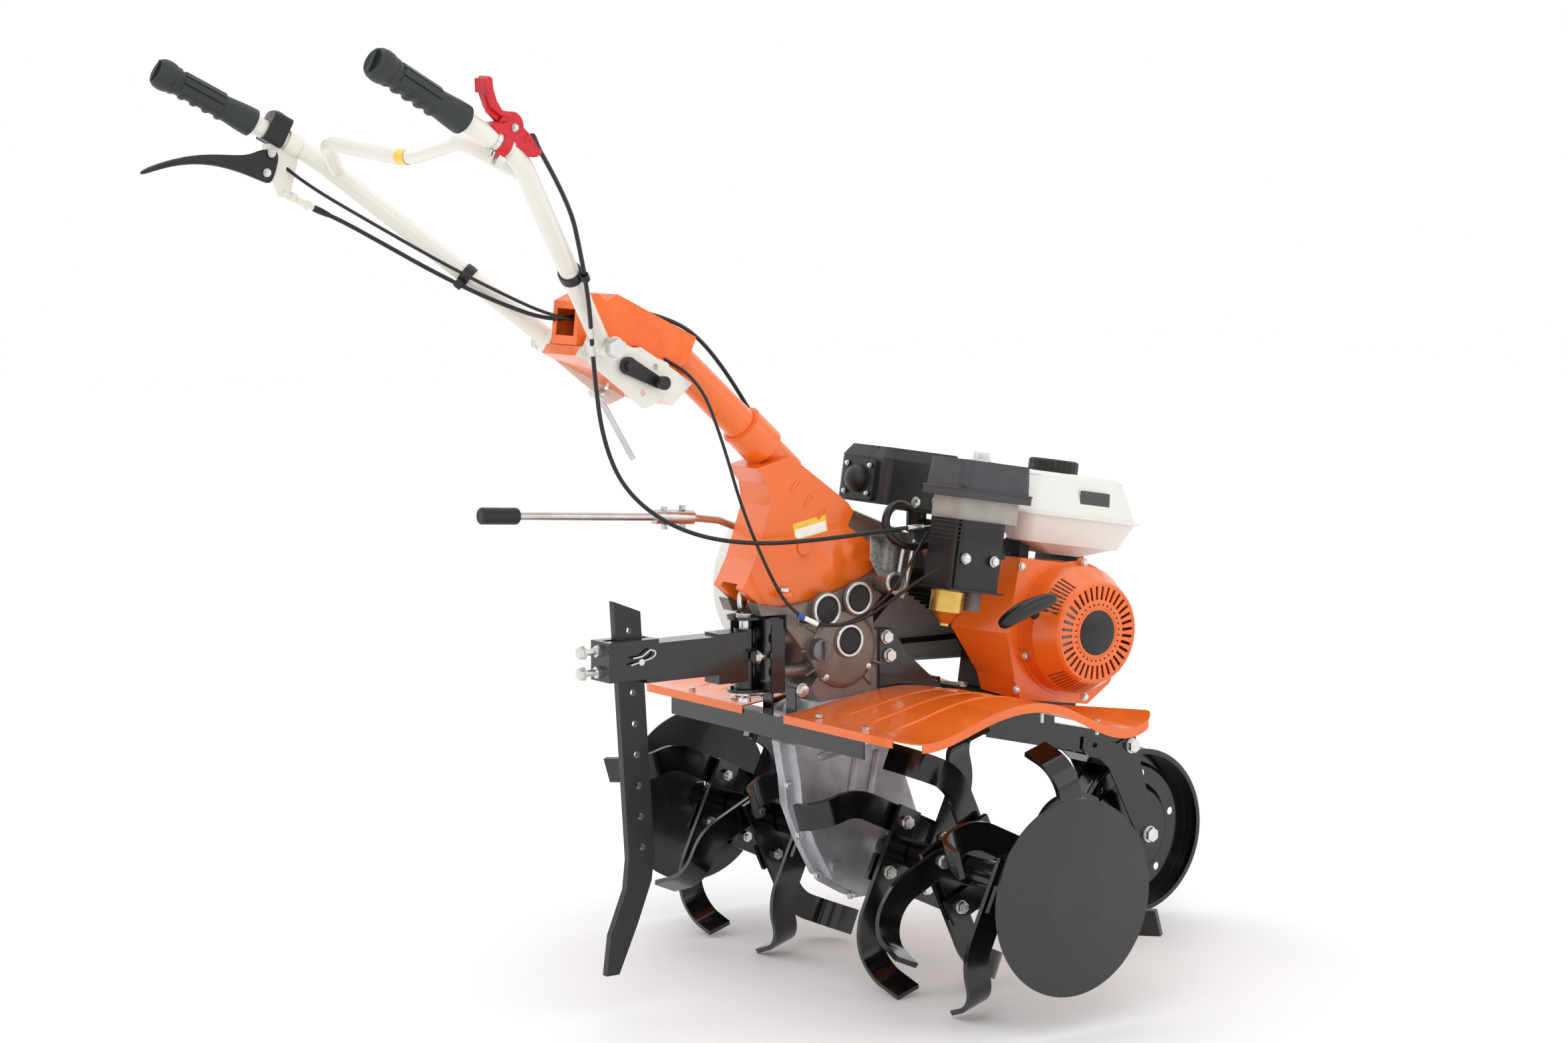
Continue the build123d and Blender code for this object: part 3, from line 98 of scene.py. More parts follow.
class Look:
    """A node material while it is being built."""

    def __init__(self, name, **sockets):
        self.material = bpy.data.materials.new(name)
        self.material.use_nodes = True
        self.tree = self.material.node_tree
        self.tree.nodes.clear()
        self.shader = self.add("ShaderNodeBsdfPrincipled")
        output = self.add("ShaderNodeOutputMaterial")
        self.join(self.shader.outputs["BSDF"], output.inputs["Surface"])
        self.place = self.add("ShaderNodeTexCoord").outputs["Object"]
        for socket, value in sockets.items():
            self.shader.inputs[socket.replace("_", " ")].default_value = value

    def add(self, kind, **inputs):
        node = self.tree.nodes.new(kind)
        for socket, value in inputs.items():
            node.inputs[socket.replace("_", " ")].default_value = value
        return node

    def join(self, source, target):
        self.tree.links.new(source, target)

    def noise(self, scale, detail=4.0, roughness=0.55, stretch=(1, 1, 1)):
        """Noise of that many cells to the metre, drawn out along an axis by a small stretch."""
        mapping = self.add("ShaderNodeMapping", Scale=stretch)
        self.join(self.place, mapping.inputs["Vector"])
        node = self.add("ShaderNodeTexNoise", Scale=scale, Detail=detail, Roughness=roughness)
        self.join(mapping.outputs["Vector"], node.inputs["Vector"])
        return node.outputs["Fac"]

    def ramp(self, value, *stops):
        """Colour ramp through (position, colour) stops."""
        node = self.add("ShaderNodeValToRGB")
        elements = node.color_ramp.elements
        while len(elements) < len(stops):
            elements.new(0.5)
        for element, (position, colour) in zip(elements, stops):
            element.position = position
            element.color = colour
        self.join(value, node.inputs["Fac"])
        return node.outputs["Color"]

    def level(self, value, low, high, start=0.3, end=0.7):
        """Spreads a value between two levels."""
        node = self.add("ShaderNodeMapRange", From_Min=start, From_Max=end, To_Min=low, To_Max=high)
        self.join(value, node.inputs["Value"])
        return node.outputs["Result"]

    def colour(self, value, *stops):
        self.join(self.ramp(value, *stops), self.shader.inputs["Base Color"])

    def rough(self, value, low, high):
        self.join(self.level(value, low, high), self.shader.inputs["Roughness"])

    def relief(self, *layers, edge=0.0009):
        """Rounded edges, if any, and then bumps, each a (height, strength, distance)."""
        normal = None
        if edge:
            bevel = self.add("ShaderNodeBevel", Radius=edge)
            bevel.samples = 4
            normal = bevel.outputs["Normal"]
        for height, strength, distance in layers:
            bump = self.add("ShaderNodeBump", Strength=strength, Distance=distance)
            self.join(height, bump.inputs["Height"])
            if normal:
                self.join(normal, bump.inputs["Normal"])
            normal = bump.outputs["Normal"]
        self.join(normal, self.shader.inputs["Normal"])
        return self.material


def tint(colour, factor):
    """The same colour, lighter or darker."""
    return tuple(min(1.0, c * factor) for c in colour[:3]) + (1.0,)


def paint(name, colour, low, high, coat=0.4, peel=0.05, edge=0.0012):
    """Sprayed paint: faint cloudiness and orange peel."""
    look = Look(name, Coat_Weight=coat, Coat_Roughness=0.08)
    cloud = look.noise(9.0, 5.0)
    look.colour(cloud, (0.25, tint(colour, 0.955)), (0.5, colour), (0.75, tint(colour, 1.03)))
    look.rough(look.noise(35.0, 4.0), low, high)
    return look.relief((look.noise(300.0, 2.0), peel, 0.0003), edge=edge)


def casting(name, colour, metallic, low, high, grain=0.25):
    """Die-cast alloy with a sandy skin and darker hollows."""
    look = Look(name, Metallic=metallic)
    cloud = look.noise(26.0, 6.0, 0.6)
    look.colour(cloud, (0.2, tint(colour, 0.62)), (0.5, colour), (0.8, tint(colour, 1.25)))
    look.rough(look.noise(90.0, 4.0), low, high)
    sand = (look.noise(900.0, 3.0), grain, 0.0004)
    hollows = (look.noise(120.0, 4.0), grain, 0.0006)
    return look.relief(sand, hollows, edge=0.0022)


def plated(name, colour, low, high, along=(1, 1, 1), edge=0.0005):
    """Zinc plating, faintly cloudy, with fine drawing marks."""
    look = Look(name, Metallic=1.0)
    cloud = look.noise(60.0, 4.0)
    look.colour(cloud, (0.3, tint(colour, 0.90)), (0.5, colour), (0.72, tint(colour, 1.08)))
    look.rough(look.noise(240.0, 3.0, stretch=along), low, high)
    return look.relief((look.noise(900.0, 2.0, stretch=along), 0.03, 0.0001), edge=edge)


def moulded(name, colour, low, high, grain=0.18, edge=0.0012, cloudy=0.15):
    """Moulded plastic or rubber with a fine spark-eroded grain."""
    look = Look(name, Specular_IOR_Level=0.45)
    cloud = look.noise(30.0, 4.0)
    look.colour(cloud, (0.3, tint(colour, 1 - cloudy)), (0.6, colour), (0.85, tint(colour, 1 + cloudy)))
    look.rough(look.noise(140.0, 3.0), low, high)
    return look.relief((look.noise(1900.0, 2.0), grain, 0.0002), edge=edge)


def smoked(name):
    """Cloudy half-clear plastic of the air cleaner's bowl."""
    look = Look(name, Transmission_Weight=0.35, IOR=1.46, Subsurface_Weight=0.35)
    look.shader.inputs["Subsurface Radius"].default_value = (0.02, 0.02, 0.02)
    cloud = look.noise(18.0, 4.0)
    look.colour(cloud, (0.3, srgb(176, 170, 163)), (0.7, srgb(214, 208, 201)))
    look.rough(look.noise(80.0, 3.0), 0.28, 0.42)
    return look.relief((look.noise(1500.0, 2.0), 0.12, 0.0002))


def printed(name, ground, pale):
    """Blank label: a slightly uneven ground with nothing on it."""
    look = Look(name, Coat_Weight=0.5, Coat_Roughness=0.15)
    paper = look.noise(60.0, 3.0)
    look.colour(paper, (0.3, ground), (0.7, pale))
    look.rough(look.noise(46.0, 2.0), 0.3, 0.42)
    return look.relief((look.noise(700.0, 2.0), 0.04, 0.0001), edge=0.0003)


ORANGE = srgb(234, 106, 26)
CREAM = srgb(226, 222, 212)
ZINC = srgb(214, 214, 210)

mats = {
    "orange_paint": paint("orange_paint", ORANGE, 0.22, 0.34),
    "orange_plastic": moulded("orange_plastic", srgb(246, 110, 40), 0.34, 0.46, 0.12),
    "black_paint": paint("black_paint", srgb(10, 10, 11), 0.10, 0.22, 0.3, 0.06, 0.0014),
    "satin_black": paint("satin_black", srgb(18, 18, 20), 0.30, 0.42, 0.1, 0.08, 0.0012),
    "disc_paint": paint("disc_paint", srgb(30, 31, 33), 0.26, 0.34, 0.2, 0.04, 0.0012),
    "cream_paint": paint("cream_paint", CREAM, 0.20, 0.30, peel=0.01),
    "cream_tube": paint("cream_tube", CREAM, 0.18, 0.28, peel=0.004, edge=0),
    "orange_tube": paint("orange_tube", ORANGE, 0.20, 0.32, peel=0.01, edge=0),
    "white_paint": paint("white_paint", srgb(226, 225, 220), 0.20, 0.30, peel=0.006),
    "tank_white": moulded("tank_white", srgb(226, 225, 219), 0.24, 0.32, 0.004, 0, 0.012),
    "cast_grey": casting("cast_grey", srgb(126, 117, 111), 0.75, 0.34, 0.52),
    "cast_silver": casting("cast_silver", srgb(176, 177, 182), 0.55, 0.32, 0.44, 0.12),
    "engine_black": casting("engine_black", srgb(38, 38, 40), 0.3, 0.40, 0.55),
    "muffler_black": paint("muffler_black", srgb(26, 26, 28), 0.40, 0.52, 0.0, 0.25, 0.0015),
    "zinc": plated("zinc", ZINC, 0.20, 0.36),
    "zinc_rod": plated("zinc_rod", srgb(200, 201, 200), 0.16, 0.26, edge=0),
    "gold_zinc": plated("gold_zinc", srgb(214, 178, 96), 0.20, 0.34),
    "carb_alloy": casting("carb_alloy", srgb(168, 162, 150), 0.8, 0.32, 0.48, 0.2),
    "black_plastic": moulded("black_plastic", srgb(27, 27, 29), 0.36, 0.52),
    "gloss_plastic": moulded("gloss_plastic", srgb(22, 22, 24), 0.20, 0.30, 0.05),
    "cleaner_plastic": moulded("cleaner_plastic", srgb(62, 63, 67), 0.42, 0.56, 0.25, 0.003),
    "grey_plastic": moulded("grey_plastic", srgb(120, 121, 124), 0.4, 0.5),
    "smoke_plastic": smoked("smoke_plastic"),
    "red_plastic": moulded("red_plastic", srgb(205, 12, 34), 0.22, 0.34, 0.08),
    "grip_rubber": moulded("grip_rubber", srgb(40, 44, 46), 0.46, 0.58, 0.12, 0.0008, 0.08),
    "belt_rubber": moulded("belt_rubber", srgb(26, 26, 27), 0.55, 0.7, 0.5),
    "cable_black": moulded("cable_black", srgb(16, 16, 17), 0.26, 0.38, 0.06, 0.0006),
    "blue_plastic": moulded("blue_plastic", srgb(28, 92, 176), 0.3, 0.4),
    "yellow_label": printed("yellow_label", srgb(236, 190, 30), srgb(246, 204, 52)),
    "white_label": printed("white_label", srgb(238, 236, 228), srgb(250, 249, 244)),
    "dark_label": printed("dark_label", srgb(26, 27, 30), srgb(36, 37, 41)),
}

NODE_LOOK = {
    "orange_paint": ["fender_right", "fender_left", "column_casting", "fan_shroud", "starter_housing"],
    "orange_plastic": ["head_cover"],
    "black_paint": ["frame_rails", "hitch_bracket", "bar_holder", "wheel_fork", "tines_left",
                    "tines_right", "output_shaft", "front_wheel", "front_beam"],
    "satin_black": ["drag_bar", "tension_arm"],
    "disc_paint": ["side_discs"],
    "cream_paint": ["column_head", "clutch_bracket"],
    "cream_tube": ["handlebar"],
    "orange_tube": ["column_tube"],
    "white_paint": ["belt_cover"],
    "tank_white": ["fuel_tank"],
    "cast_grey": ["gearbox"],
    "cast_silver": ["chain_case"],
    "engine_black": ["engine_block"],
    "muffler_black": ["muffler"],
    "zinc": ["frame_bolts", "tine_bolts", "rotor_pins", "wheel_axle", "hitch_pin", "bar_pins",
             "choke_lever", "driven_pulley", "crankshaft"],
    "zinc_rod": ["gear_lever", "clamp_rod"],
    "carb_alloy": ["carburettor"],
    "black_plastic": ["carb_cover", "fuel_cap", "fuel_tap_lever", "tension_pulley", "switch_housing",
                      "height_lever", "clutch_lever"],
    "gloss_plastic": ["starter_handle"],
    "cleaner_plastic": ["cleaner_lid"],
    "smoke_plastic": ["cleaner_base"],
    "red_plastic": ["throttle_housing", "throttle_lever", "switch_rocker"],
    "grip_rubber": ["grips"],
    "belt_rubber": ["drive_belt"],
    "cable_black": ["throttle_cable", "clutch_cable", "switch_lead"],
}


def dress_nodes():
    """Gives every CAD node its material."""
    for look, names in NODE_LOOK.items():
        for name in names:
            node = frame["nodes"][name]
            node.data.materials.clear()
            node.data.materials.append(mats[look])


def dress_faces(name, look, inside):
    """Gives a second material to the faces of a node whose middle passes a test."""
    mesh = frame["nodes"][name].data
    mesh.materials.append(mats[look])
    slot = len(mesh.materials) - 1
    for face in mesh.polygons:
        if inside(face.center):
            face.material_index = slot


GEAR_COUPLER = (-633, 60, 768)
GEAR_GRIP_START = -601.5  # the gear lever's grip lies behind this
HEAD_CORE_HALF = 44.9  # the head's orange core ends inside its side plates
PULL_HANDLE = (155, -195, 598)


def dress_two_tone_nodes():
    """Nodes that hold pieces of different stuff: each piece is told by where it is."""
    crank = ENGINE.inverted()

    def grip_of_gear_lever(p):
        return p.x < at(GEAR_GRIP_START, 0, 0).x and (p - at(*GEAR_COUPLER)).length > 11.5 * MM

    def head_core(p):
        return abs(p.y) < HEAD_CORE_HALF * MM

    def bowl(p):
        q = crank @ p / MM
        return q.x < -240 and q.z < 47 and q.y < -110

    def filter_cup(p):
        q = crank @ p / MM
        return -233 < q.x < -203 and q.z < 43 and q.y < -124

    def wing_nut(p):
        return (crank @ p / MM).z > 241.5

    def rope(p):
        q = (p - at(*PULL_HANDLE)) / MM
        return q.length < 400 and q.dot(eng_way(0, -1, 0)) < -11.5

    dress_faces("gear_lever", "black_plastic", grip_of_gear_lever)
    dress_faces("column_head", "orange_paint", head_core)
    dress_faces("carburettor", "gold_zinc", bowl)
    dress_faces("carburettor", "grey_plastic", filter_cup)
    dress_faces("cleaner_lid", "zinc", wing_nut)
    dress_faces("starter_handle", "grip_rubber", rope)


dress_nodes()
dress_two_tone_nodes()


# ---------------------------------------------------------------- mesh tools


def link(name, mesh, look, body):
    """Puts a mesh in the scene, riding on a body, with its material."""
    piece = bpy.data.objects.new(name, mesh)
    bpy.context.scene.collection.objects.link(piece)
    mesh.materials.clear()
    mesh.materials.append(mats[look])
    if body:
        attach(piece, body)
    return piece


def to_mesh(name, bm, smooth_below=35.0):
    """Mesh from bmesh, smooth except where faces meet at more than an angle."""
    bmesh.ops.recalc_face_normals(bm, faces=bm.faces)
    limit = math.radians(smooth_below)
    for edge in bm.edges:
        edge.smooth = len(edge.link_faces) != 2 or edge.calc_face_angle(4.0) < limit
    for face in bm.faces:
        face.smooth = True
    mesh = bpy.data.meshes.new(name)
    bm.to_mesh(mesh)
    bm.free()
    return mesh


def build(name, bm, look, body, smooth_below=35.0):
    """Turns a bmesh into a piece that rides on a body."""
    return link(name, to_mesh(name, bm, smooth_below), look, body)


def moved(x, y, z):
    """A shift given in millimetres."""
    return Matrix.Translation(Vector((x, y, z)) * MM)


def spun(degrees, axis):
    """A turn about one axis."""
    return Matrix.Rotation(math.radians(degrees), 4, axis)


def axis_frame(origin, way, side=None):
    """Placement whose Z runs along a direction."""
    z = Vector(way).normalized()
    hint = Vector(side) if side else (Vector((0, 0, 1)) if abs(z.z) < 0.9 else Vector((1, 0, 0)))
    x = (hint - z * hint.dot(z)).normalized()
    y = z.cross(x)
    turn = Matrix((x, y, z)).transposed().to_4x4()
    return Matrix.Translation(origin) @ turn


def add_lathe(bm, profile, place, segments=32):
    """Turned shape: profile points are (radius, height) in millimetres, closed on the axis."""
    rings = []
    for radius, height in profile:
        if radius < 1e-6:
            rings.append([bm.verts.new(place @ Vector((0, 0, height * MM)))])
            continue
        ring = []
        for k in range(segments):
            angle = 2 * math.pi * k / segments
            point = Vector((radius * math.cos(angle), radius * math.sin(angle), height)) * MM
            ring.append(bm.verts.new(place @ point))
        rings.append(ring)
    for low, high in zip(rings, rings[1:]):
        for k in range(segments):
            n = (k + 1) % segments
            corners = [low[k % len(low)], low[n % len(low)], high[n % len(high)], high[k % len(high)]]
            unique = list(dict.fromkeys(corners))
            if len(unique) > 2:
                bm.faces.new(unique)


def add_plate(bm, outline, place, thick, rim=0.4):
    """Flat plate with a small chamfer round its upper edge; outline in millimetres, anticlockwise."""
    centre = Vector((sum(p[0] for p in outline), sum(p[1] for p in outline))) / len(outline)
    layers = []
    for inset, height in ((0, 0), (0, thick - rim), (rim, thick)):
        ring = []
        for x, y in outline:
            away = Vector((x, y)) - centre
            away = away * (1 - inset / max(away.length, rim))
            ring.append(bm.verts.new(place @ (Vector((centre.x + away.x, centre.y + away.y, height)) * MM)))
        layers.append(ring)
    count = len(outline)
    for low, high in zip(layers, layers[1:]):
        for k in range(count):
            bm.faces.new([low[k], low[(k + 1) % count], high[(k + 1) % count], high[k]])
    bm.faces.new(layers[-1])
    bm.faces.new(layers[0][::-1])


def rounded(width, height, radius, steps=4):
    """Outline of a rectangle with round corners, round the origin."""
    points = []
    for quarter, (sx, sy) in enumerate(((1, 1), (-1, 1), (-1, -1), (1, -1))):
        cx, cy = sx * (width / 2 - radius), sy * (height / 2 - radius)
        for k in range(steps + 1):
            angle = math.radians(90 * quarter + 90 * k / steps)
            points.append((cx + radius * math.cos(angle), cy + radius * math.sin(angle)))
    return points


def ring_of(sides, radius):
    """Outline of a regular polygon round the origin."""
    steps = [2 * math.pi * k / sides for k in range(sides)]
    return [(radius * math.cos(a), radius * math.sin(a)) for a in steps]


def add_bolt(bm, place, size):
    """Hexagon head with a washer face, a chamfered top and a plain washer under it."""
    r = size * 0.5
    add_lathe(bm, [(0, 0), (2.1 * r, 0), (2.15 * r, 0.2), (2.1 * r, 0.32 * r), (0, 0.32 * r)], place, 28)
    hexagon = place @ moved(0, 0, 0.32 * r)
    add_plate(bm, ring_of(6, 1.78 * r), hexagon, 1.25 * r, 0.18 * r)
    crown = hexagon @ moved(0, 0, 1.25 * r)
    add_lathe(bm, [(1.45 * r, 0), (1.35 * r, 0.06 * r), (0, 0.07 * r)], crown, 20)


def bolts(name, spots, size, body, look="zinc"):
    """Several bolt heads, each a (point, outward direction)."""
    bm = bmesh.new()
    for point, way in spots:
        add_bolt(bm, axis_frame(point, way), size)
    return build(name, bm, look, body)


def turned(name, profile, origin, way, look, body, segments=40):
    """One turned piece."""
    bm = bmesh.new()
    add_lathe(bm, profile, axis_frame(origin, way), segments)
    return build(name, bm, look, body)


def plate(name, outline, origin, way, side, thick, look, body):
    """One flat piece: its outline's X runs along side."""
    bm = bmesh.new()
    add_plate(bm, outline, axis_frame(origin, way, side), thick, min(0.4, thick * 0.4))
    return build(name, bm, look, body)


# ---------------------------------------------------------------- cables


def spline_curve(name, points, diameter):
    """NURBS curve that follows a route of points, in metres."""
    curve = bpy.data.curves.new(name, "CURVE")
    curve.dimensions = "3D"
    curve.resolution_u = 10
    spline = curve.splines.new("NURBS")
    spline.points.add(len(points) - 1)
    for point, place in zip(spline.points, points):
        point.co = (*place, 1.0)
    spline.order_u = 3
    spline.use_endpoint_u = True
    curve.bevel_depth = diameter / 2
    curve.bevel_resolution = 6
    curve.use_fill_caps = True
    return curve


def evaluated(curve):
    """The mesh that a curve gives."""
    holder = bpy.data.objects.new("curve_holder", curve)
    bpy.context.scene.collection.objects.link(holder)
    mesh = bpy.data.meshes.new_from_object(holder.evaluated_get(bpy.context.evaluated_depsgraph_get()))
    bpy.data.objects.remove(holder)
    return mesh


def line_of(points):
    """Points along the smooth line of a route."""
    curve = spline_curve("route", points, 0.0)
    curve.use_fill_caps = False
    line = evaluated(curve)
    return [vertex.co.copy() for vertex in line.vertices]


def tube(name, points, diameter, look, body):
    """Smooth tube along a route, as a mesh."""
    mesh = evaluated(spline_curve(name, points, diameter))
    mesh.name = name
    for face in mesh.polygons:
        face.use_smooth = True
    return link(name, mesh, look, body)


THROTTLE_RUN = [
    (-786.5, -290, 1310), (-693, -230, 1228), (-648, -190, 1150), (-612, -154, 1080), (-574, -104, 990),
    (-545, -82, 880), (-500, -78, 800), (-401, -74, 739), (-273, -72, 713), (-130, -76, 714),
    (-28, -98, 724), (14, -112, 726),
]
SWITCH_RUN = [
    (-868, 311, 1312), (-856, 306, 1280), (-829, 246, 1240), (-775, 185, 1195), (-686, 140, 1137),
    (-611, 100, 1092), (-568, 14, 1056), (-500, -12, 1046), (-420, -22, 1002), (-363, -60, 962),
    (-326, -66, 871), (-290, -66, 764), (-239, -66, 662), (-205, -72, 608), (-150, -82, 581),
    (-95, -98, 587), (-51, -130, 625), (-22, -165, 660), (-11, -184, 669),
]
CLUTCH_RUN = [
    (-803.6, 286.5, 1209.8), (-775, 266, 1194), (-739, 222, 1165), (-674, 156, 1115), (-612, 100, 1076),
    (-560, 26, 1048), (-500, 10, 1062), (-440, 10, 1064), (-377, 10, 1050), (-306, 34, 1024),
    (-230, 58, 960), (-150, 74, 860), (-62, 78, 764),
]


def held_cable(node, route, diameter):
    """A cable from a hand control down to the machine."""
    points = [at(*p) for p in route]
    path = line_of(points)
    piece = tube(node + "_sheath", points, diameter, "cable_black", None)
    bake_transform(piece)
    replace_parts(piece, node)
    return path


throttle_path = held_cable("throttle_cable", THROTTLE_RUN, 0.0065)
switch_path = held_cable("switch_lead", SWITCH_RUN, 0.005)
clutch_path = held_cable("clutch_cable", CLUTCH_RUN, 0.0065)


# ---------------------------------------------------------------- grips and hand controls

GRIP_OUTER = Vector((-1031.0, 314.0, 1403.0))
BAR_BEND = Vector((-806.0, 286.0, 1286.0))
GRIP_PROFILE = [
    (0, -3.5), (9, -3.8), (14, -5.4), (16.4, -7.4), (18.6, -6.4), (21.4, -1.5), (22.6, 6), (22.2, 13),
    (20.6, 18.5), (19.4, 19.6), (19.6, 21), (20.4, 22), (20.0, 25.5), (18.6, 26.4), (18.2, 28), (17.4, 32),
    (17.2, 60), (17.3, 100), (18.6, 116), (20.2, 134), (20.8, 149), (20.6, 152), (19.0, 153.2),
    (15.2, 153.4),
]
FINGER_RIDGE = [(0, -12), (3.6, -11), (5.6, -6), (6.2, 0), (5.6, 6), (3.6, 11), (0, 12)]


def bar_end(side):
    """Placement at the outer end of one grip, with Z running down the tube."""
    flip = Vector((1, side, 1))
    start, bend = GRIP_OUTER * flip, BAR_BEND * flip
    return axis_frame(at(*start), bend - start, (0, 0, 1))


def add_grips():
    """Rubber grips: bulb end with a fin across its dish, broad flat ribs and finger ridges underneath."""
    bm = bmesh.new()
    for side in (1, -1):
        place = bar_end(side)
        add_lathe(bm, GRIP_PROFILE, place, 64)
        for angle in range(-108, 109, 36):
            rib = place @ spun(angle, "Z") @ moved(16.9, 0, 66) @ spun(90, "Y")
            add_plate(bm, rounded(68, 9.5, 2.0, 3), rib, 2.4, 0.9)
        for k in range(4):
            ridge = place @ moved(-14.2, 0, 42 + 20 * k) @ spun(90, "X")
            add_lathe(bm, FINGER_RIDGE, ridge, 20)
        fin = place @ moved(0, 0, -9.5)
        add_plate(bm, rounded(33, 4.6, 2.1, 3), fin, 7.0, 1.6)
    sleeves = build("grip_sleeves", bm, "grip_rubber", "handlebar")
    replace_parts(sleeves, "grips")


def sweep_section(name, stations, look, body):
    """Bar whose oval section changes along its line; stations are (centre, half height, half width)."""
    bm = bmesh.new()
    sides = 16
    rings = []
    for k, (centre, high, wide) in enumerate(stations):
        before = Vector(stations[max(k - 1, 0)][0])
        after = Vector(stations[min(k + 1, len(stations) - 1)][0])
        way = (after - before).normalized()
        across = Vector((0, 1, 0))
        up = way.cross(across).normalized()
        ring = []
        for n in range(sides):
            angle = 2 * math.pi * n / sides
            squarish = 1 + 0.12 * math.sin(2 * angle) ** 2
            offset = up * (high * math.cos(angle) * squarish) + across * (wide * math.sin(angle) * squarish)
            ring.append(bm.verts.new(at(*(Vector(centre) + offset))))
        rings.append(ring)
    for low, high_ring in zip(rings, rings[1:]):
        for n in range(sides):
            m = (n + 1) % sides
            bm.faces.new([low[n], low[m], high_ring[m], high_ring[n]])
    bm.faces.new(rings[0][::-1])
    bm.faces.new(rings[-1])
    piece = build(name, bm, look, body, 50.0)
    smooth = piece.modifiers.new("smooth", "SUBSURF")
    smooth.levels = 1
    smooth.render_levels = 2
    return piece


CLUTCH_SIDE = 286.5  # the clutch lever's middle plane


def add_clutch_lever():
    """Moulded clutch lever: deep at its pivot, sweeping out to a flat turned-down tip."""
    sections = [  # x, z, half height, half width
        (-866, 1268, 20, 7), (-872, 1270, 25, 7.4), (-886, 1273, 24, 7.4), (-899, 1272.5, 19, 7.2),
        (-914, 1273.5, 14, 7.0), (-936, 1277, 10.5, 7.4), (-966, 1281, 8, 8.2), (-1000, 1281, 6.2, 8.6),
        (-1032, 1276, 4.8, 8.4), (-1058, 1269, 4.2, 7.6), (-1072, 1264, 3.4, 6.0),
        (-1078, 1261.5, 1.8, 3.2),
    ]
    stations = [((x, CLUTCH_SIDE, z), high, wide) for x, z, high, wide in sections]
    lever = sweep_section("clutch_blade", stations, "black_plastic", "clutch_lever")
    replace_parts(lever, "clutch_lever")
    spots = [(at(-876, 278.0, 1290), RIGHT), (at(-884, 278.5, 1262), RIGHT)]
    bolts("clutch_screws", spots, 6.0, "clutch_lever")


def bar_frame(along, side):
    """Placement on the tube, so far from the grip's end: X runs down the tube and Z points up."""
    flip = Vector((1, side, 1))
    start, bend = GRIP_OUTER * flip, BAR_BEND * flip
    way = (bend - start).normalized()
    up = way.cross(Vector((0, 1, 0)))
    up = up.normalized() if up.z > 0 else -up.normalized()
    turn = Matrix((way, up.cross(way), up)).transposed().to_4x4()
    return Matrix.Translation(at(*(start + way * along))) @ turn


THROTTLE_ALONG = 223.0  # from the grip's end
THROTTLE_PIVOT = 26.0  # above the tube's axis
THROTTLE_IDLE = -14.0  # degrees, where the paddle stands at idle


def add_slab(bm, outline, place, half_width):
    """Solid between two copies of an outline given in X and Z of its placement."""
    layers = []
    for y in (-half_width, half_width):
        layers.append([bm.verts.new(place @ (Vector((x, y, z)) * MM)) for x, z in outline])
    count = len(outline)
    for k in range(count):
        n = (k + 1) % count
        bm.faces.new([layers[0][k], layers[0][n], layers[1][n], layers[1][k]])
    bm.faces.new(layers[0][::-1])
    bm.faces.new(layers[1])


def red_piece(name, bm, body):
    """Links a red moulding with softened edges."""
    bmesh.ops.recalc_face_normals(bm, faces=bm.faces)
    piece = build(name, bm, "red_plastic", body, 40)
    edges = piece.modifiers.new("edges", "BEVEL")
    edges.width = 0.7 * MM
    edges.segments = 2
    return piece


def add_throttle():
    """Moulded throttle: a wedge body saddled on the tube and a thumb paddle swept back over the grip."""
    place = bar_frame(THROTTLE_ALONG, -1)
    pivot = place @ moved(0, 0, THROTTLE_PIVOT)
    body = bmesh.new()
    saddle = [(-34, 12), (-32, 17), (-18, 21), (46, 21), (52, 17), (52, 10), (46, 6), (-20, 6)]
    cheek = [(-22, 19), (-14, 28), (-4, 32), (14, 33), (28, 30), (40, 25), (48, 20)]
    add_slab(body, saddle, place, 13)
    for side in (-1, 1):
        add_slab(body, cheek, place @ moved(0, side * 8.2, 0), 4.2)
    for x in (22, 31, 40):
        rib = [(x, 18), (x, 30 - 0.35 * (x - 20)), (x + 4, 29 - 0.35 * (x - 20)), (x + 4, 18)]
        add_slab(body, rib, place, 14.2)
    nose = [(46, 13), (46, 24), (60, 22), (60, 15)]
    add_slab(body, nose, place, 6.5)
    red_piece("throttle_ribs", body, "handlebar")

    lever = bmesh.new()
    idle = pivot @ spun(THROTTLE_IDLE, "Y")
    web = [(8, 4), (8, 12), (-10, 14), (-24, 15), (-38, 24), (-50, 40), (-56, 42), (-50, 26), (-40, 10),
           (-22, 2)]
    add_slab(lever, web, idle, 3.6)
    pad = [(-6, 16.5), (-24, 18), (-35, 27), (-44, 40), (-50, 54), (-56, 55), (-60, 49), (-52, 32),
           (-40, 16), (-24, 10), (-8, 11)]
    add_slab(lever, pad, idle, 10.5)
    add_slab(lever, [(-49, 36), (-55, 52), (-62, 50), (-56, 32)], idle, 12.5)
    hub = [(0, -3.8), (15.2, -3.8), (15.2, 3.8), (0, 3.8)]
    add_lathe(lever, hub, pivot @ spun(90, "X"), 40)
    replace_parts(red_piece("throttle_thumb", lever, "throttle_lever"), "throttle_lever")
    outward = place.to_3x3() @ Vector(RIGHT)
    bolts("throttle_screw", [(pivot @ Vector((0, -12.6 * MM, 0)), outward)], 5.0, "handlebar")


HOOP_RADIUS = 11.0


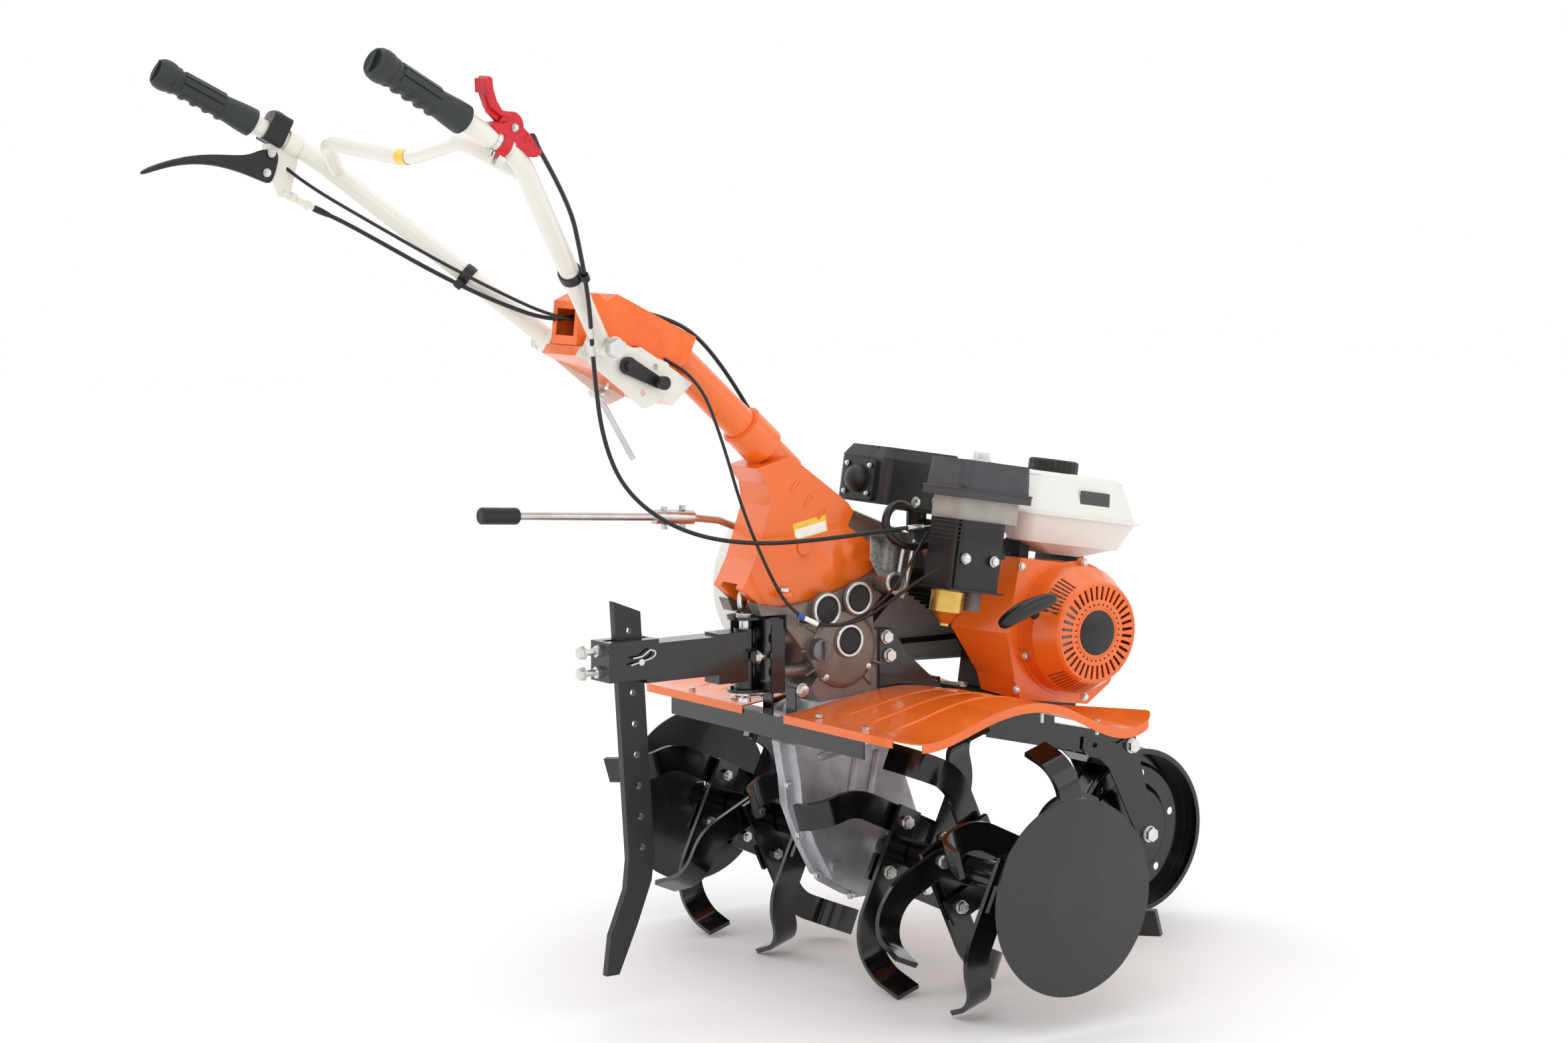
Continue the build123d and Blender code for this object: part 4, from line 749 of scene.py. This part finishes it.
def add_bar_fittings():
    """Clamp bands, the throttle's clasp and the hoop's blank label."""
    for side, along, name in ((-1, 205, "throttle_band"), (1, 186, "bracket_band")):
        place = bar_end(side) @ moved(0, 0, along)
        bm = bmesh.new()
        add_lathe(bm, [(14.1, 0), (15.6, 0.3), (15.6, 10.7), (14.1, 11)], place, 36)
        for shift in (3.0, 8.0):
            ear = place @ moved(-15, 0, shift) @ spun(-90, "Y")
            add_plate(bm, rounded(3, 14, 1.4), ear, 8.0)
        build(name, bm, "zinc", "handlebar")
    clasp = bmesh.new()
    place = bar_end(-1) @ moved(0, 0, 228)
    add_lathe(clasp, [(14.2, -7), (16.0, -6.6), (16.4, 0), (16.0, 6.6), (14.2, 7)], place, 40)
    for shift in (-6.0, 6.0):
        ear = place @ moved(-15, shift, 0) @ spun(-90, "Y")
        add_plate(clasp, rounded(13, 3, 1.2), ear, 13.0)
    build("throttle_clasp", clasp, "zinc", "handlebar")
    hoop_label = bmesh.new()
    hit, spot, _, _ = frame["nodes"]["handlebar"].ray_cast(at(-815, 0, 1400), Vector((0, 0, -1)))
    middle = (spot if hit else at(-811, 0, 1293)) - Vector((0, 0, HOOP_RADIUS * MM))
    wrap = HOOP_RADIUS + 0.35
    sticker = [(HOOP_RADIUS, -13), (wrap, -12.8), (wrap, 12.8), (HOOP_RADIUS, 13)]
    add_lathe(hoop_label, sticker, axis_frame(middle, (0, 1, 0)), 32)
    build("hoop_label", hoop_label, "yellow_label", "handlebar")


def cable_clip(name, tube_at, tube_way, cable_at, body):
    """Plastic clip: a band round the handlebar tube and a loop that the cable lies in."""
    bm = bmesh.new()
    band = axis_frame(tube_at, tube_way)
    add_lathe(bm, [(14.2, -8), (16.8, -7.6), (17.2, 0), (16.8, 7.6), (14.2, 8)], band, 40)
    reach = cable_at - tube_at
    reach -= Vector(tube_way).normalized() * reach.dot(Vector(tube_way).normalized())
    arm = axis_frame(tube_at + reach.normalized() * 15.5 * MM, reach, tube_way)
    add_plate(bm, rounded(13, 5, 1.5), arm, max(3.0, reach.length / MM - 19), 0.5)
    loop = axis_frame(cable_at, tube_way)
    add_lathe(bm, [(4.2, -6), (6.4, -5.6), (6.8, 0), (6.4, 5.6), (4.2, 6), (3.6, 0), (4.2, -6)], loop, 28)
    return build(name, bm, "black_plastic", body)


def add_cable_fittings():
    """Clips, crimped ferrules, adjusters and the lead's inline connector."""
    for side, path, name in ((-1, throttle_path, "clip_right"), (1, clutch_path, "clip_left")):
        foot = at(-534, side * 66, 1015)
        knee = at(BAR_BEND.x, side * BAR_BEND.y, BAR_BEND.z)
        share = 0.60 if side < 0 else 0.64
        place = knee.lerp(foot, share)
        nearest = min(path, key=lambda p: (p - place).length)
        cable_clip(name, place, foot - knee, nearest, "handlebar")

    start = throttle_path[0]
    way = throttle_path[3] - start
    turned("throttle_boot", [(0, -4), (5.2, -3.5), (5.6, 2), (4.2, 16), (3.6, 26), (3.3, 27)], start, way,
           "cable_black", "handlebar")
    start = clutch_path[0]
    way = clutch_path[3] - start
    turned("clutch_boot", [(0, -2), (5.0, -1.5), (5.2, 8), (4.2, 20), (3.4, 24)], start, way, "cable_black",
           "handlebar")
    adjuster = [(0, -30), (4.6, -30), (4.6, -16), (7.0, -15.6), (7.0, -9), (4.4, -8.6), (4.4, 0), (0, 0)]
    turned("clutch_adjuster", adjuster, start, way, "zinc", "handlebar", 20)

    for k, spot in enumerate(((-577, -110, 1060), (-574, -105, 1021))):
        joined = min(range(len(throttle_path)), key=lambda n: (throttle_path[n] - at(*spot)).length)
        sleeve = [(3.3, -9), (4.3, -8.6), (4.5, -4), (4.1, 0), (4.5, 4), (4.3, 8.6), (3.3, 9)]
        turned(f"throttle_sleeve_{k + 1}", sleeve, throttle_path[joined],
               throttle_path[joined + 1] - throttle_path[joined - 1], "zinc", "chassis", 20)

    near_end = throttle_path[-1]
    way = near_end - throttle_path[-6]
    ferrule = [(3.3, -26), (4.4, -25.5), (4.4, -8), (3.8, -7), (3.8, 0), (1.2, 0.5), (1.2, 12), (0, 12)]
    turned("throttle_ferrule", ferrule, near_end, way, "zinc", "chassis", 20)

    joined = min(range(len(switch_path)), key=lambda k: (switch_path[k] - at(-178, -78, 588)).length)
    way = switch_path[joined + 2] - switch_path[joined - 2]
    sleeve = [(2.6, -17), (3.7, -16.5), (3.9, -2), (3.6, 0), (3.9, 2), (3.7, 16.5), (2.6, 17)]
    turned("lead_sleeve", sleeve, switch_path[joined], way, "white_label", "chassis", 20)
    plug = [(2.6, -6), (4.1, -5.5), (4.1, 5.5), (2.6, 6)]
    turned("lead_plug", plug, switch_path[joined] - way.normalized() * 14 * MM, way, "blue_plastic",
           "chassis", 20)


# ---------------------------------------------------------------- gearbox and castings

CAP_SPOTS = ((-69.0, 617.0), (-86.0, 553.0), (-129.0, 604.0))


def add_gearbox_details():
    """Rubber plugs in their machined rings, the round cover with its ribs, oil plug and small screws."""
    rings, plugs = bmesh.new(), bmesh.new()
    for x, z in CAP_SPOTS:
        place = axis_frame(at(x, -61.0, z), RIGHT)
        lip = [(20.4, -1.6), (20.6, 0.2), (21.2, 0.7), (24.4, 0.7), (25.3, -0.2), (25.3, -2.5)]
        add_lathe(rings, lip, place, 56)
        dish = [(20.3, -1.2), (19.6, 0.1), (18.2, 0.3), (17.4, -0.8), (6, -1.0), (0, -1.0)]
        add_lathe(plugs, dish, place, 48)
    boss = axis_frame(at(-22, -90.0, 640), RIGHT)
    add_lathe(rings, [(11.8, -1), (12.2, 0.5), (16.2, 0.5), (17.2, -0.4), (17.2, -3)], boss, 44)
    add_lathe(plugs, [(11.9, -1.2), (11.0, 0.0), (9.8, 0.1), (9.2, -0.8), (0, -0.9)], boss, 40)
    build("cap_rings", rings, "zinc", "chassis")
    build("cap_plugs", plugs, "black_plastic", "chassis")

    cover = bmesh.new()
    middle = axis_frame(at(-92, -50.0, 540), RIGHT, (1, 0, 0))
    add_lathe(cover, [(0, 6.2), (50, 6.2), (56, 5.4), (59, 3.4), (60.5, 0.4), (60.8, -1)], middle, 72)
    for angle in (150, 178, 206, 312, 338):
        rib = middle @ spun(angle, "Z") @ moved(69, 0, -0.5)
        add_plate(cover, rounded(22, 4.6, 2.0, 3), rib, 3.6, 1.4)
    for x, z in ((-128, 500), (-48, 510), (-52, 590), (-170, 590)):
        pad = axis_frame(at(x, -50.0, z), RIGHT)
        add_lathe(cover, [(0, 3.0), (6.5, 3.0), (7.6, 2.2), (8.4, -0.4)], pad, 30)
    build("gear_cover", cover, "cast_grey", "chassis", 50)

    plug = bmesh.new()
    place = axis_frame(at(-142, -66.0, 544), RIGHT)
    add_lathe(plug, [(0, 1.2), (13.5, 1.2), (15.6, 0.2), (16.6, -2), (16.8, -6)], place, 40)
    build("oil_plug_face", plug, "grey_plastic", "chassis")

    screws = [(at(x, -53.2, z), RIGHT) for x, z in ((-128, 500), (-48, 510))]
    bolts("gearbox_screws", screws, 6.0, "chassis")
    bolts("rear_plate_bolt", [(at(-177, -60.5, 486), RIGHT)], 10.0, "chassis")


def add_casting_details():
    """Upper casting: soft bulges, raised pads, foot bolts, the belt cover's knob, collar weld and label."""
    bm = bmesh.new()
    for x, z, r, rise in ((-110, 668, 40, 7), (-176, 690, 32, 3.5), (-68, 690, 22, 4)):
        place = axis_frame(at(x, -38.1, z), RIGHT)
        steps = [(r * k / 10, rise * (math.cos(math.pi * k / 10) + 1) / 2) for k in range(11)]
        add_lathe(bm, steps, place, 40)
    slope = math.radians(42)
    for x, z in ((-150, 770), (-125, 748), (-175, 793)):
        place = axis_frame(at(x, -38.0, z), RIGHT, (math.cos(slope), 0, -math.sin(slope)))
        add_plate(bm, rounded(6, 20, 2.6), place, 1.4, 0.8)
    feet = ((-24, 676), (-199, 634))
    for x, z in feet:
        place = axis_frame(at(x, -46, z - 6), (0, 0, 1), (1, 0, 0))
        add_plate(bm, rounded(26, 24, 8), place, 7, 1.5)
    build("casting_pads", bm, "orange_paint", "chassis", 55)
    spots = [(at(x, -46, z + 1.2), (0.1, 0, 1)) for x, z in feet]
    bolts("casting_bolts", spots, 7.5, "chassis")

    knob = [(0, 16), (9, 16), (11, 14.5), (11, 8), (6, 6.5), (5, 0), (5, -4)]
    turned("cover_knob", knob, at(-203, 59, 666), (-1, 0, 0), "black_plastic", "chassis",
           32)

    weld = bmesh.new()
    axis = at(-160, 0, 811) - at(-381, 0, 1003.8)
    place = axis_frame(at(-246, 0, 886), axis)
    beads = 46
    for k in range(beads):
        offset = spun(360 * k / beads, "Z") @ moved(27.4, 0, random.uniform(-0.5, 0.5))
        bead = place @ offset @ Matrix.Diagonal((1, 1, 0.8, 1))
        radius = random.uniform(2.3, 2.8) * MM
        bmesh.ops.create_icosphere(weld, subdivisions=2, radius=radius, matrix=bead)
    build("collar_weld", weld, "orange_paint", "chassis", 80)

    tilt = (math.cos(math.radians(10)), 0, math.sin(math.radians(10)))
    plate("casting_label", rounded(62, 26, 1.5), at(-145, -38.05, 728), RIGHT, tilt, 0.35,
          "yellow_label", "chassis")
    plate("casting_label_text", rounded(58, 15, 1.0), at(-144.5, -38.35, 724), RIGHT, tilt, 0.2,
          "white_label", "chassis")


CASE_BEADS = (  # x, z, length, degrees
    (-62, 420, 96, 8), (-70, 380, 110, 8), (-58, 330, 120, 80), (-22, 320, 110, 78),
)


def add_chain_case_details():
    """Raised beads pressed into the lower case and screws round its rim."""
    for side in (-1, 1):
        way = (0, side, 0)
        bm = bmesh.new()
        for x, z, length, slope in CASE_BEADS:
            along = (math.cos(math.radians(slope)), 0, math.sin(math.radians(slope)))
            place = axis_frame(at(x, side * 29.6, z), way, along)
            add_plate(bm, rounded(length, 12, 5.8, 6), place, 3.2, 2.4)
        name = "case_beads_" + ("right" if side < 0 else "left")
        build(name, bm, "cast_silver", "chassis", 60)
    rim = ((-160, 330), (-139, 250), (-104, 182), (-40, 143), (20, 152), (60, 190), (78, 245))
    bolts("case_bolts", [(at(x, -2.0, z), RIGHT) for x, z in rim], 7.0, "chassis")


# ---------------------------------------------------------------- engine


def add_starter_details():
    """Blank badge, dotted vent ring, face ring and screws of the recoil starter."""
    face = -190.2
    away = eng_way(*RIGHT)
    badge = [(0, 1.4), (33, 1.4), (35, 0.6), (35.4, -0.4)]
    turned("starter_badge", badge, eng(0, face, 0), away, "gloss_plastic", "chassis", 64)
    dots = bmesh.new()
    for k in range(30):
        angle = 2 * math.pi * k / 30
        spot = eng(44.5 * math.cos(angle), face + 0.1, 44.5 * math.sin(angle))
        add_lathe(dots, [(0, 0.5), (1.5, 0.45), (1.7, -0.2)], axis_frame(spot, away), 12)
    build("starter_dots", dots, "black_plastic", "chassis")
    ring = bmesh.new()
    place = axis_frame(eng(0, face, 0), away)
    add_lathe(ring, [(38.2, -0.3), (38.8, 0.9), (40.4, 0.9), (41.0, -0.3)], place, 72)
    add_lathe(ring, [(75.0, -0.8), (75.8, 0.5), (77.2, 0.3), (78.5, -1.6)], place, 96)
    build("starter_rings", ring, "orange_paint", "chassis")
    spots = []
    for k in range(3):
        angle = math.radians(120 * k + 208)
        spots.append((eng(104 * math.cos(angle), -134.2, 104 * math.sin(angle)), away))
    for x, z in ((-96, -104), (48, -106), (-116, 88)):
        spots.append((eng(x, -126.2, z), away))
    spots.append((eng(-140, -99.5, 132), away))
    bolts("starter_bolts", spots, 6.0, "chassis")


def add_pull_handle():
    """Curved pull handle with a rope hole and the rope running into its grommet."""
    points = [(98, 575), (112, 583), (130, 591), (150, 598), (172, 604), (192, 608), (208, 611)]
    sizes = [(7, 9), (11, 11), (12.5, 12), (13.5, 12.5), (12.5, 12), (11, 11), (7, 9)]
    stations = [((x, -195, z), high, wide) for (x, z), (high, wide) in zip(points, sizes)]
    handle = sweep_section("pull_grip", stations, "gloss_plastic", "starter_handle")
    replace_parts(handle, "starter_handle")
    start = at(155, -184, 597)
    hole = eng(-99, -146, 18)
    way = hole - start
    span = way.length / MM
    turned("pull_rope", [(0, 0), (2.1, 0.5), (2.1, span), (0, span)], start, way, "cable_black",
           "starter_handle", 16)
    turned("pull_stem", [(0, -4), (8, -3), (8.4, 6), (6.4, 14), (3.2, 16)], start, way, "gloss_plastic",
           "starter_handle", 28)
    grommet = [(2.8, 5), (6.5, 4.5), (8.5, 2), (9, -3)]
    turned("rope_grommet", grommet, eng(-97, -150, 17.5), -way, "black_plastic", "chassis",
           28)


def add_tank_details():
    """Blank dark label on the tank."""
    face = eng_way(0, -1, 0.12)
    plate("tank_label", rounded(62, 24, 2), eng(44, -95.6, 205), face, eng_way(1, 0, 0), 0.5,
          "dark_label", "chassis")


def add_intake_details():
    """Cover bolts with the earth ring, the cover's ribs, and the lid's seam and washer."""
    right = eng_way(*RIGHT)
    spots = [(eng(-278, -184, 92), right), (eng(-222, -184, 92), right)]
    bolts("carb_cover_bolts", spots, 8.0, "chassis")
    bm = bmesh.new()
    ring = [(4.2, 0), (7.4, 0), (7.4, 0.9), (4.2, 0.9)]
    add_lathe(bm, ring, axis_frame(eng(-278, -187.2, 92), right), 28)
    build("earth_ring", bm, "zinc", "chassis")

    ribs = bmesh.new()
    for k in range(5):
        height = 118 + 6.5 * k
        place = ENGINE @ Matrix.Translation(Vector((-249.5, -146, height)) * MM)
        add_plate(ribs, rounded(91.5, 70.5, 12, 6), place, 2.2, 0.7)
    build("carb_ribs", ribs, "black_plastic", "chassis", 60)
    seam = bmesh.new()
    place = ENGINE @ Matrix.Translation(Vector((-228, -131.5, 195)) * MM)
    add_plate(seam, rounded(146.5, 109.5, 15, 6), place, 2.4, 0.9)
    build("lid_seam", seam, "cleaner_plastic", "chassis", 60)
    washer = [(0, 2.2), (17, 2.2), (22, 1.2), (24, -0.2)]
    turned("lid_washer", washer, eng(-228, -131, 241), eng_way(0, 0, 1), "zinc", "chassis")


BREATHER_RUN = [
    (30, -60, 748), (4, -74, 760), (-28, -84, 756), (-44, -90, 736), (-36, -94, 710), (-8, -96, 695),
    (20, -96, 693), (40, -100, 697),
]
SECOND_LEAD_RUN = [
    (-188, -70, 592), (-150, -76, 586), (-118, -82, 582), (-86, -92, 595), (-58, -104, 616),
    (-40, -116, 640), (-20, -122, 672), (4, -118, 700), (22, -112, 716),
]


def add_hoses():
    """Breather hose, second ignition lead, two struts and the heat shield beside the carburettor."""
    hose = [at(*p) for p in BREATHER_RUN]
    tube("breather_hose", hose, 0.013, "cable_black", "chassis")
    wire = [at(*p) for p in SECOND_LEAD_RUN]
    tube("second_lead", wire, 0.0045, "cable_black", "chassis")
    for name, top, foot in (("strut_a", at(-2, -86, 700), at(-16, -82, 622)),
                            ("strut_b", at(14, -90, 704), at(2, -86, 640))):
        tube(name, [top, top.lerp(foot, 0.5), foot], 0.006, "zinc", "chassis")
    shield = bmesh.new()
    outline = [(-52, 712), (32, 712), (34, 664), (12, 610), (-24, 626), (-52, 676)]
    add_slab(shield, outline, Matrix.Translation(at(0, -65, 0)), 1.0)
    bmesh.ops.recalc_face_normals(shield, faces=shield.faces)
    build("heat_shield", shield, "zinc", "chassis")


def add_muffler_details():
    """Slots and bolts of the exhaust guard."""
    rear = eng_way(-1, 0, 0)
    slots = bmesh.new()
    for side_y in (32, 98):
        for k in range(4):
            place = axis_frame(eng(-308.2, side_y, 176 + 11 * k), rear, eng_way(0, 1, 0))
            add_plate(slots, rounded(9, 3.2, 1.5), place, 0.5, 0.2)
    build("guard_slots", slots, "gloss_plastic", "chassis")
    spots = [(eng(-311.2, y, z), rear) for y in (36, 94) for z in (170, 214)]
    bolts("guard_screws", spots, 4.0, "chassis")
    spots = [(eng(x, 1.8, z), eng_way(*RIGHT)) for x, z in ((-200, 170), (-240, 166))]
    bolts("muffler_bolts", spots, 8.0, "chassis")


# ---------------------------------------------------------------- fenders and head


def fender_height(x, y):
    """Height of the right fender's upper face, read from its mesh."""
    node = frame["nodes"]["fender_right"]
    place = at(x, y, 0)
    hit, point, _, _ = node.ray_cast(Vector((place.x, place.y, 0.8)), Vector((0, 0, -1)))
    return point.z if hit else None


FENDER_BEADS = (130, 190, 250)  # distances from the middle plane
BEAD_START, BEAD_STEP, BEAD_COUNT = -160, 9.0, 41
BEAD_SECTION = ((-5, -0.4), (-3, 1.2), (0, 1.9), (3, 1.2), (5, -0.4))


def add_fender_details():
    """Lengthwise beads, and the blank label on the right fender."""
    for side in (-1, 1):
        bm = bmesh.new()
        for offset in FENDER_BEADS:
            rows = []
            for k in range(BEAD_COUNT):
                x = BEAD_START + BEAD_STEP * k
                height = fender_height(x, -offset)
                if height is None:
                    continue
                fade = min(1.0, k / 3, (BEAD_COUNT - 1 - k) / 3)
                row = []
                for across, rise in BEAD_SECTION:
                    y = side * (offset + across)
                    point = at(x, y, 0)
                    row.append(bm.verts.new((point.x, point.y, height + rise * fade * MM)))
                rows.append(row)
            for low, high in zip(rows, rows[1:]):
                for n in range(len(BEAD_SECTION) - 1):
                    bm.faces.new([low[n], low[n + 1], high[n + 1], high[n]])
        name = "fender_beads_" + ("right" if side < 0 else "left")
        build(name, bm, "orange_paint", "chassis", 60)

    label = bmesh.new()
    rows = []
    for k in range(9):
        x = 30 + 11.0 * k
        row = []
        for across in (-222, -238, -244):
            height = fender_height(x, across)
            point = at(x, across, 0)
            row.append(label.verts.new((point.x, point.y, height + 0.0004)))
        rows.append(row)
    for low, high in zip(rows, rows[1:]):
        for n in range(2):
            label.faces.new([low[n], low[n + 1], high[n + 1], high[n]])
    build("fender_label", label, "yellow_label", "chassis", 60)


def add_head_details():
    """Grip ribs on the plastic head cover."""
    bm = bmesh.new()
    for k in range(5):
        place = axis_frame(at(-552.5 + 5.4 * k, -34.0, 1073 - 0.2 * k), RIGHT, (0.1, 0, 1))
        add_plate(bm, rounded(24, 2.6, 1.2), place, 1.3, 0.5)
    build("cover_ribs", bm, "orange_plastic", "chassis", 50)


add_grips()
add_clutch_lever()
add_throttle()
add_bar_fittings()
add_cable_fittings()
add_gearbox_details()
add_casting_details()
add_chain_case_details()
add_starter_details()
add_pull_handle()
add_tank_details()
add_intake_details()
add_hoses()
add_muffler_details()
add_fender_details()
add_head_details()


# ---------------------------------------------------------------- camera, floor and light

CAMERA_PLACE = (-2.9103, -4.0542, 1.2702)
CAMERA_TURN = (83.687, 0.0, -35.985)
LENS = 76.37


def add_camera():
    """Camera at the viewing angle of the reference view."""
    data = bpy.data.cameras.new("camera")
    data.lens = LENS
    data.sensor_width = 36.0
    camera = bpy.data.objects.new("camera", data)
    camera.location = CAMERA_PLACE
    camera.rotation_euler = [math.radians(a) for a in CAMERA_TURN]
    bpy.context.scene.collection.objects.link(camera)
    bpy.context.scene.camera = camera


FLOOR_GLOW = 0.12
GLOW_START, GLOW_END = 0.9, 2.2  # metres from the middle


def add_floor():
    """Plain pale floor that glows a little away from the machine, so that no horizon shows."""
    bm = bmesh.new()
    bmesh.ops.create_grid(bm, x_segments=8, y_segments=8, size=12.0)
    mesh = to_mesh("floor", bm)
    look = Look("floor_white", Roughness=0.6)
    look.colour(look.noise(2.0, 3.0), (0.3, (0.955, 0.955, 0.955, 1)), (0.7, (0.965, 0.965, 0.965, 1)))
    look.shader.inputs["Emission Color"].default_value = (1, 1, 1, 1)
    spread = look.add("ShaderNodeVectorMath")
    spread.operation = "LENGTH"
    look.join(look.place, spread.inputs[0])
    glow = look.level(spread.outputs["Value"], 0.0, FLOOR_GLOW, GLOW_START, GLOW_END)
    look.join(glow, look.shader.inputs["Emission Strength"])
    mats["floor_white"] = look.material
    floor = link("floor", mesh, "floor_white", None)


def add_light(name, place, target, size, power, tone=(1, 1, 1)):
    """Soft box aimed at a point."""
    data = bpy.data.lights.new(name, "AREA")
    data.shape = "RECTANGLE"
    data.size, data.size_y = size
    data.energy = power
    data.color = tone
    light = bpy.data.objects.new(name, data)
    light.location = place
    light.rotation_euler = (Vector(target) - Vector(place)).to_track_quat("-Z", "Y").to_euler()
    bpy.context.scene.collection.objects.link(light)


def add_studio():
    """White room light with four soft boxes."""
    world = bpy.data.worlds.new("studio")
    world.use_nodes = True
    background = world.node_tree.nodes["Background"]
    background.inputs["Color"].default_value = (1, 1, 1, 1)
    background.inputs["Strength"].default_value = 1.0
    bpy.context.scene.world = world
    middle = (0, 0, 0.6)
    add_light("key", (-2.2, -2.6, 3.0), middle, (2.4, 1.8), 19)
    add_light("fill", (2.6, -2.8, 1.8), middle, (2.0, 2.4), 9)
    add_light("top", (0.2, 0.4, 3.4), middle, (3.0, 2.2), 12)
    add_light("back", (-0.5, 3.2, 1.8), middle, (3.0, 1.8), 10)
    view = bpy.context.scene.view_settings
    view.view_transform = "Standard"
    view.look = "None"


add_camera()
add_floor()
add_studio()
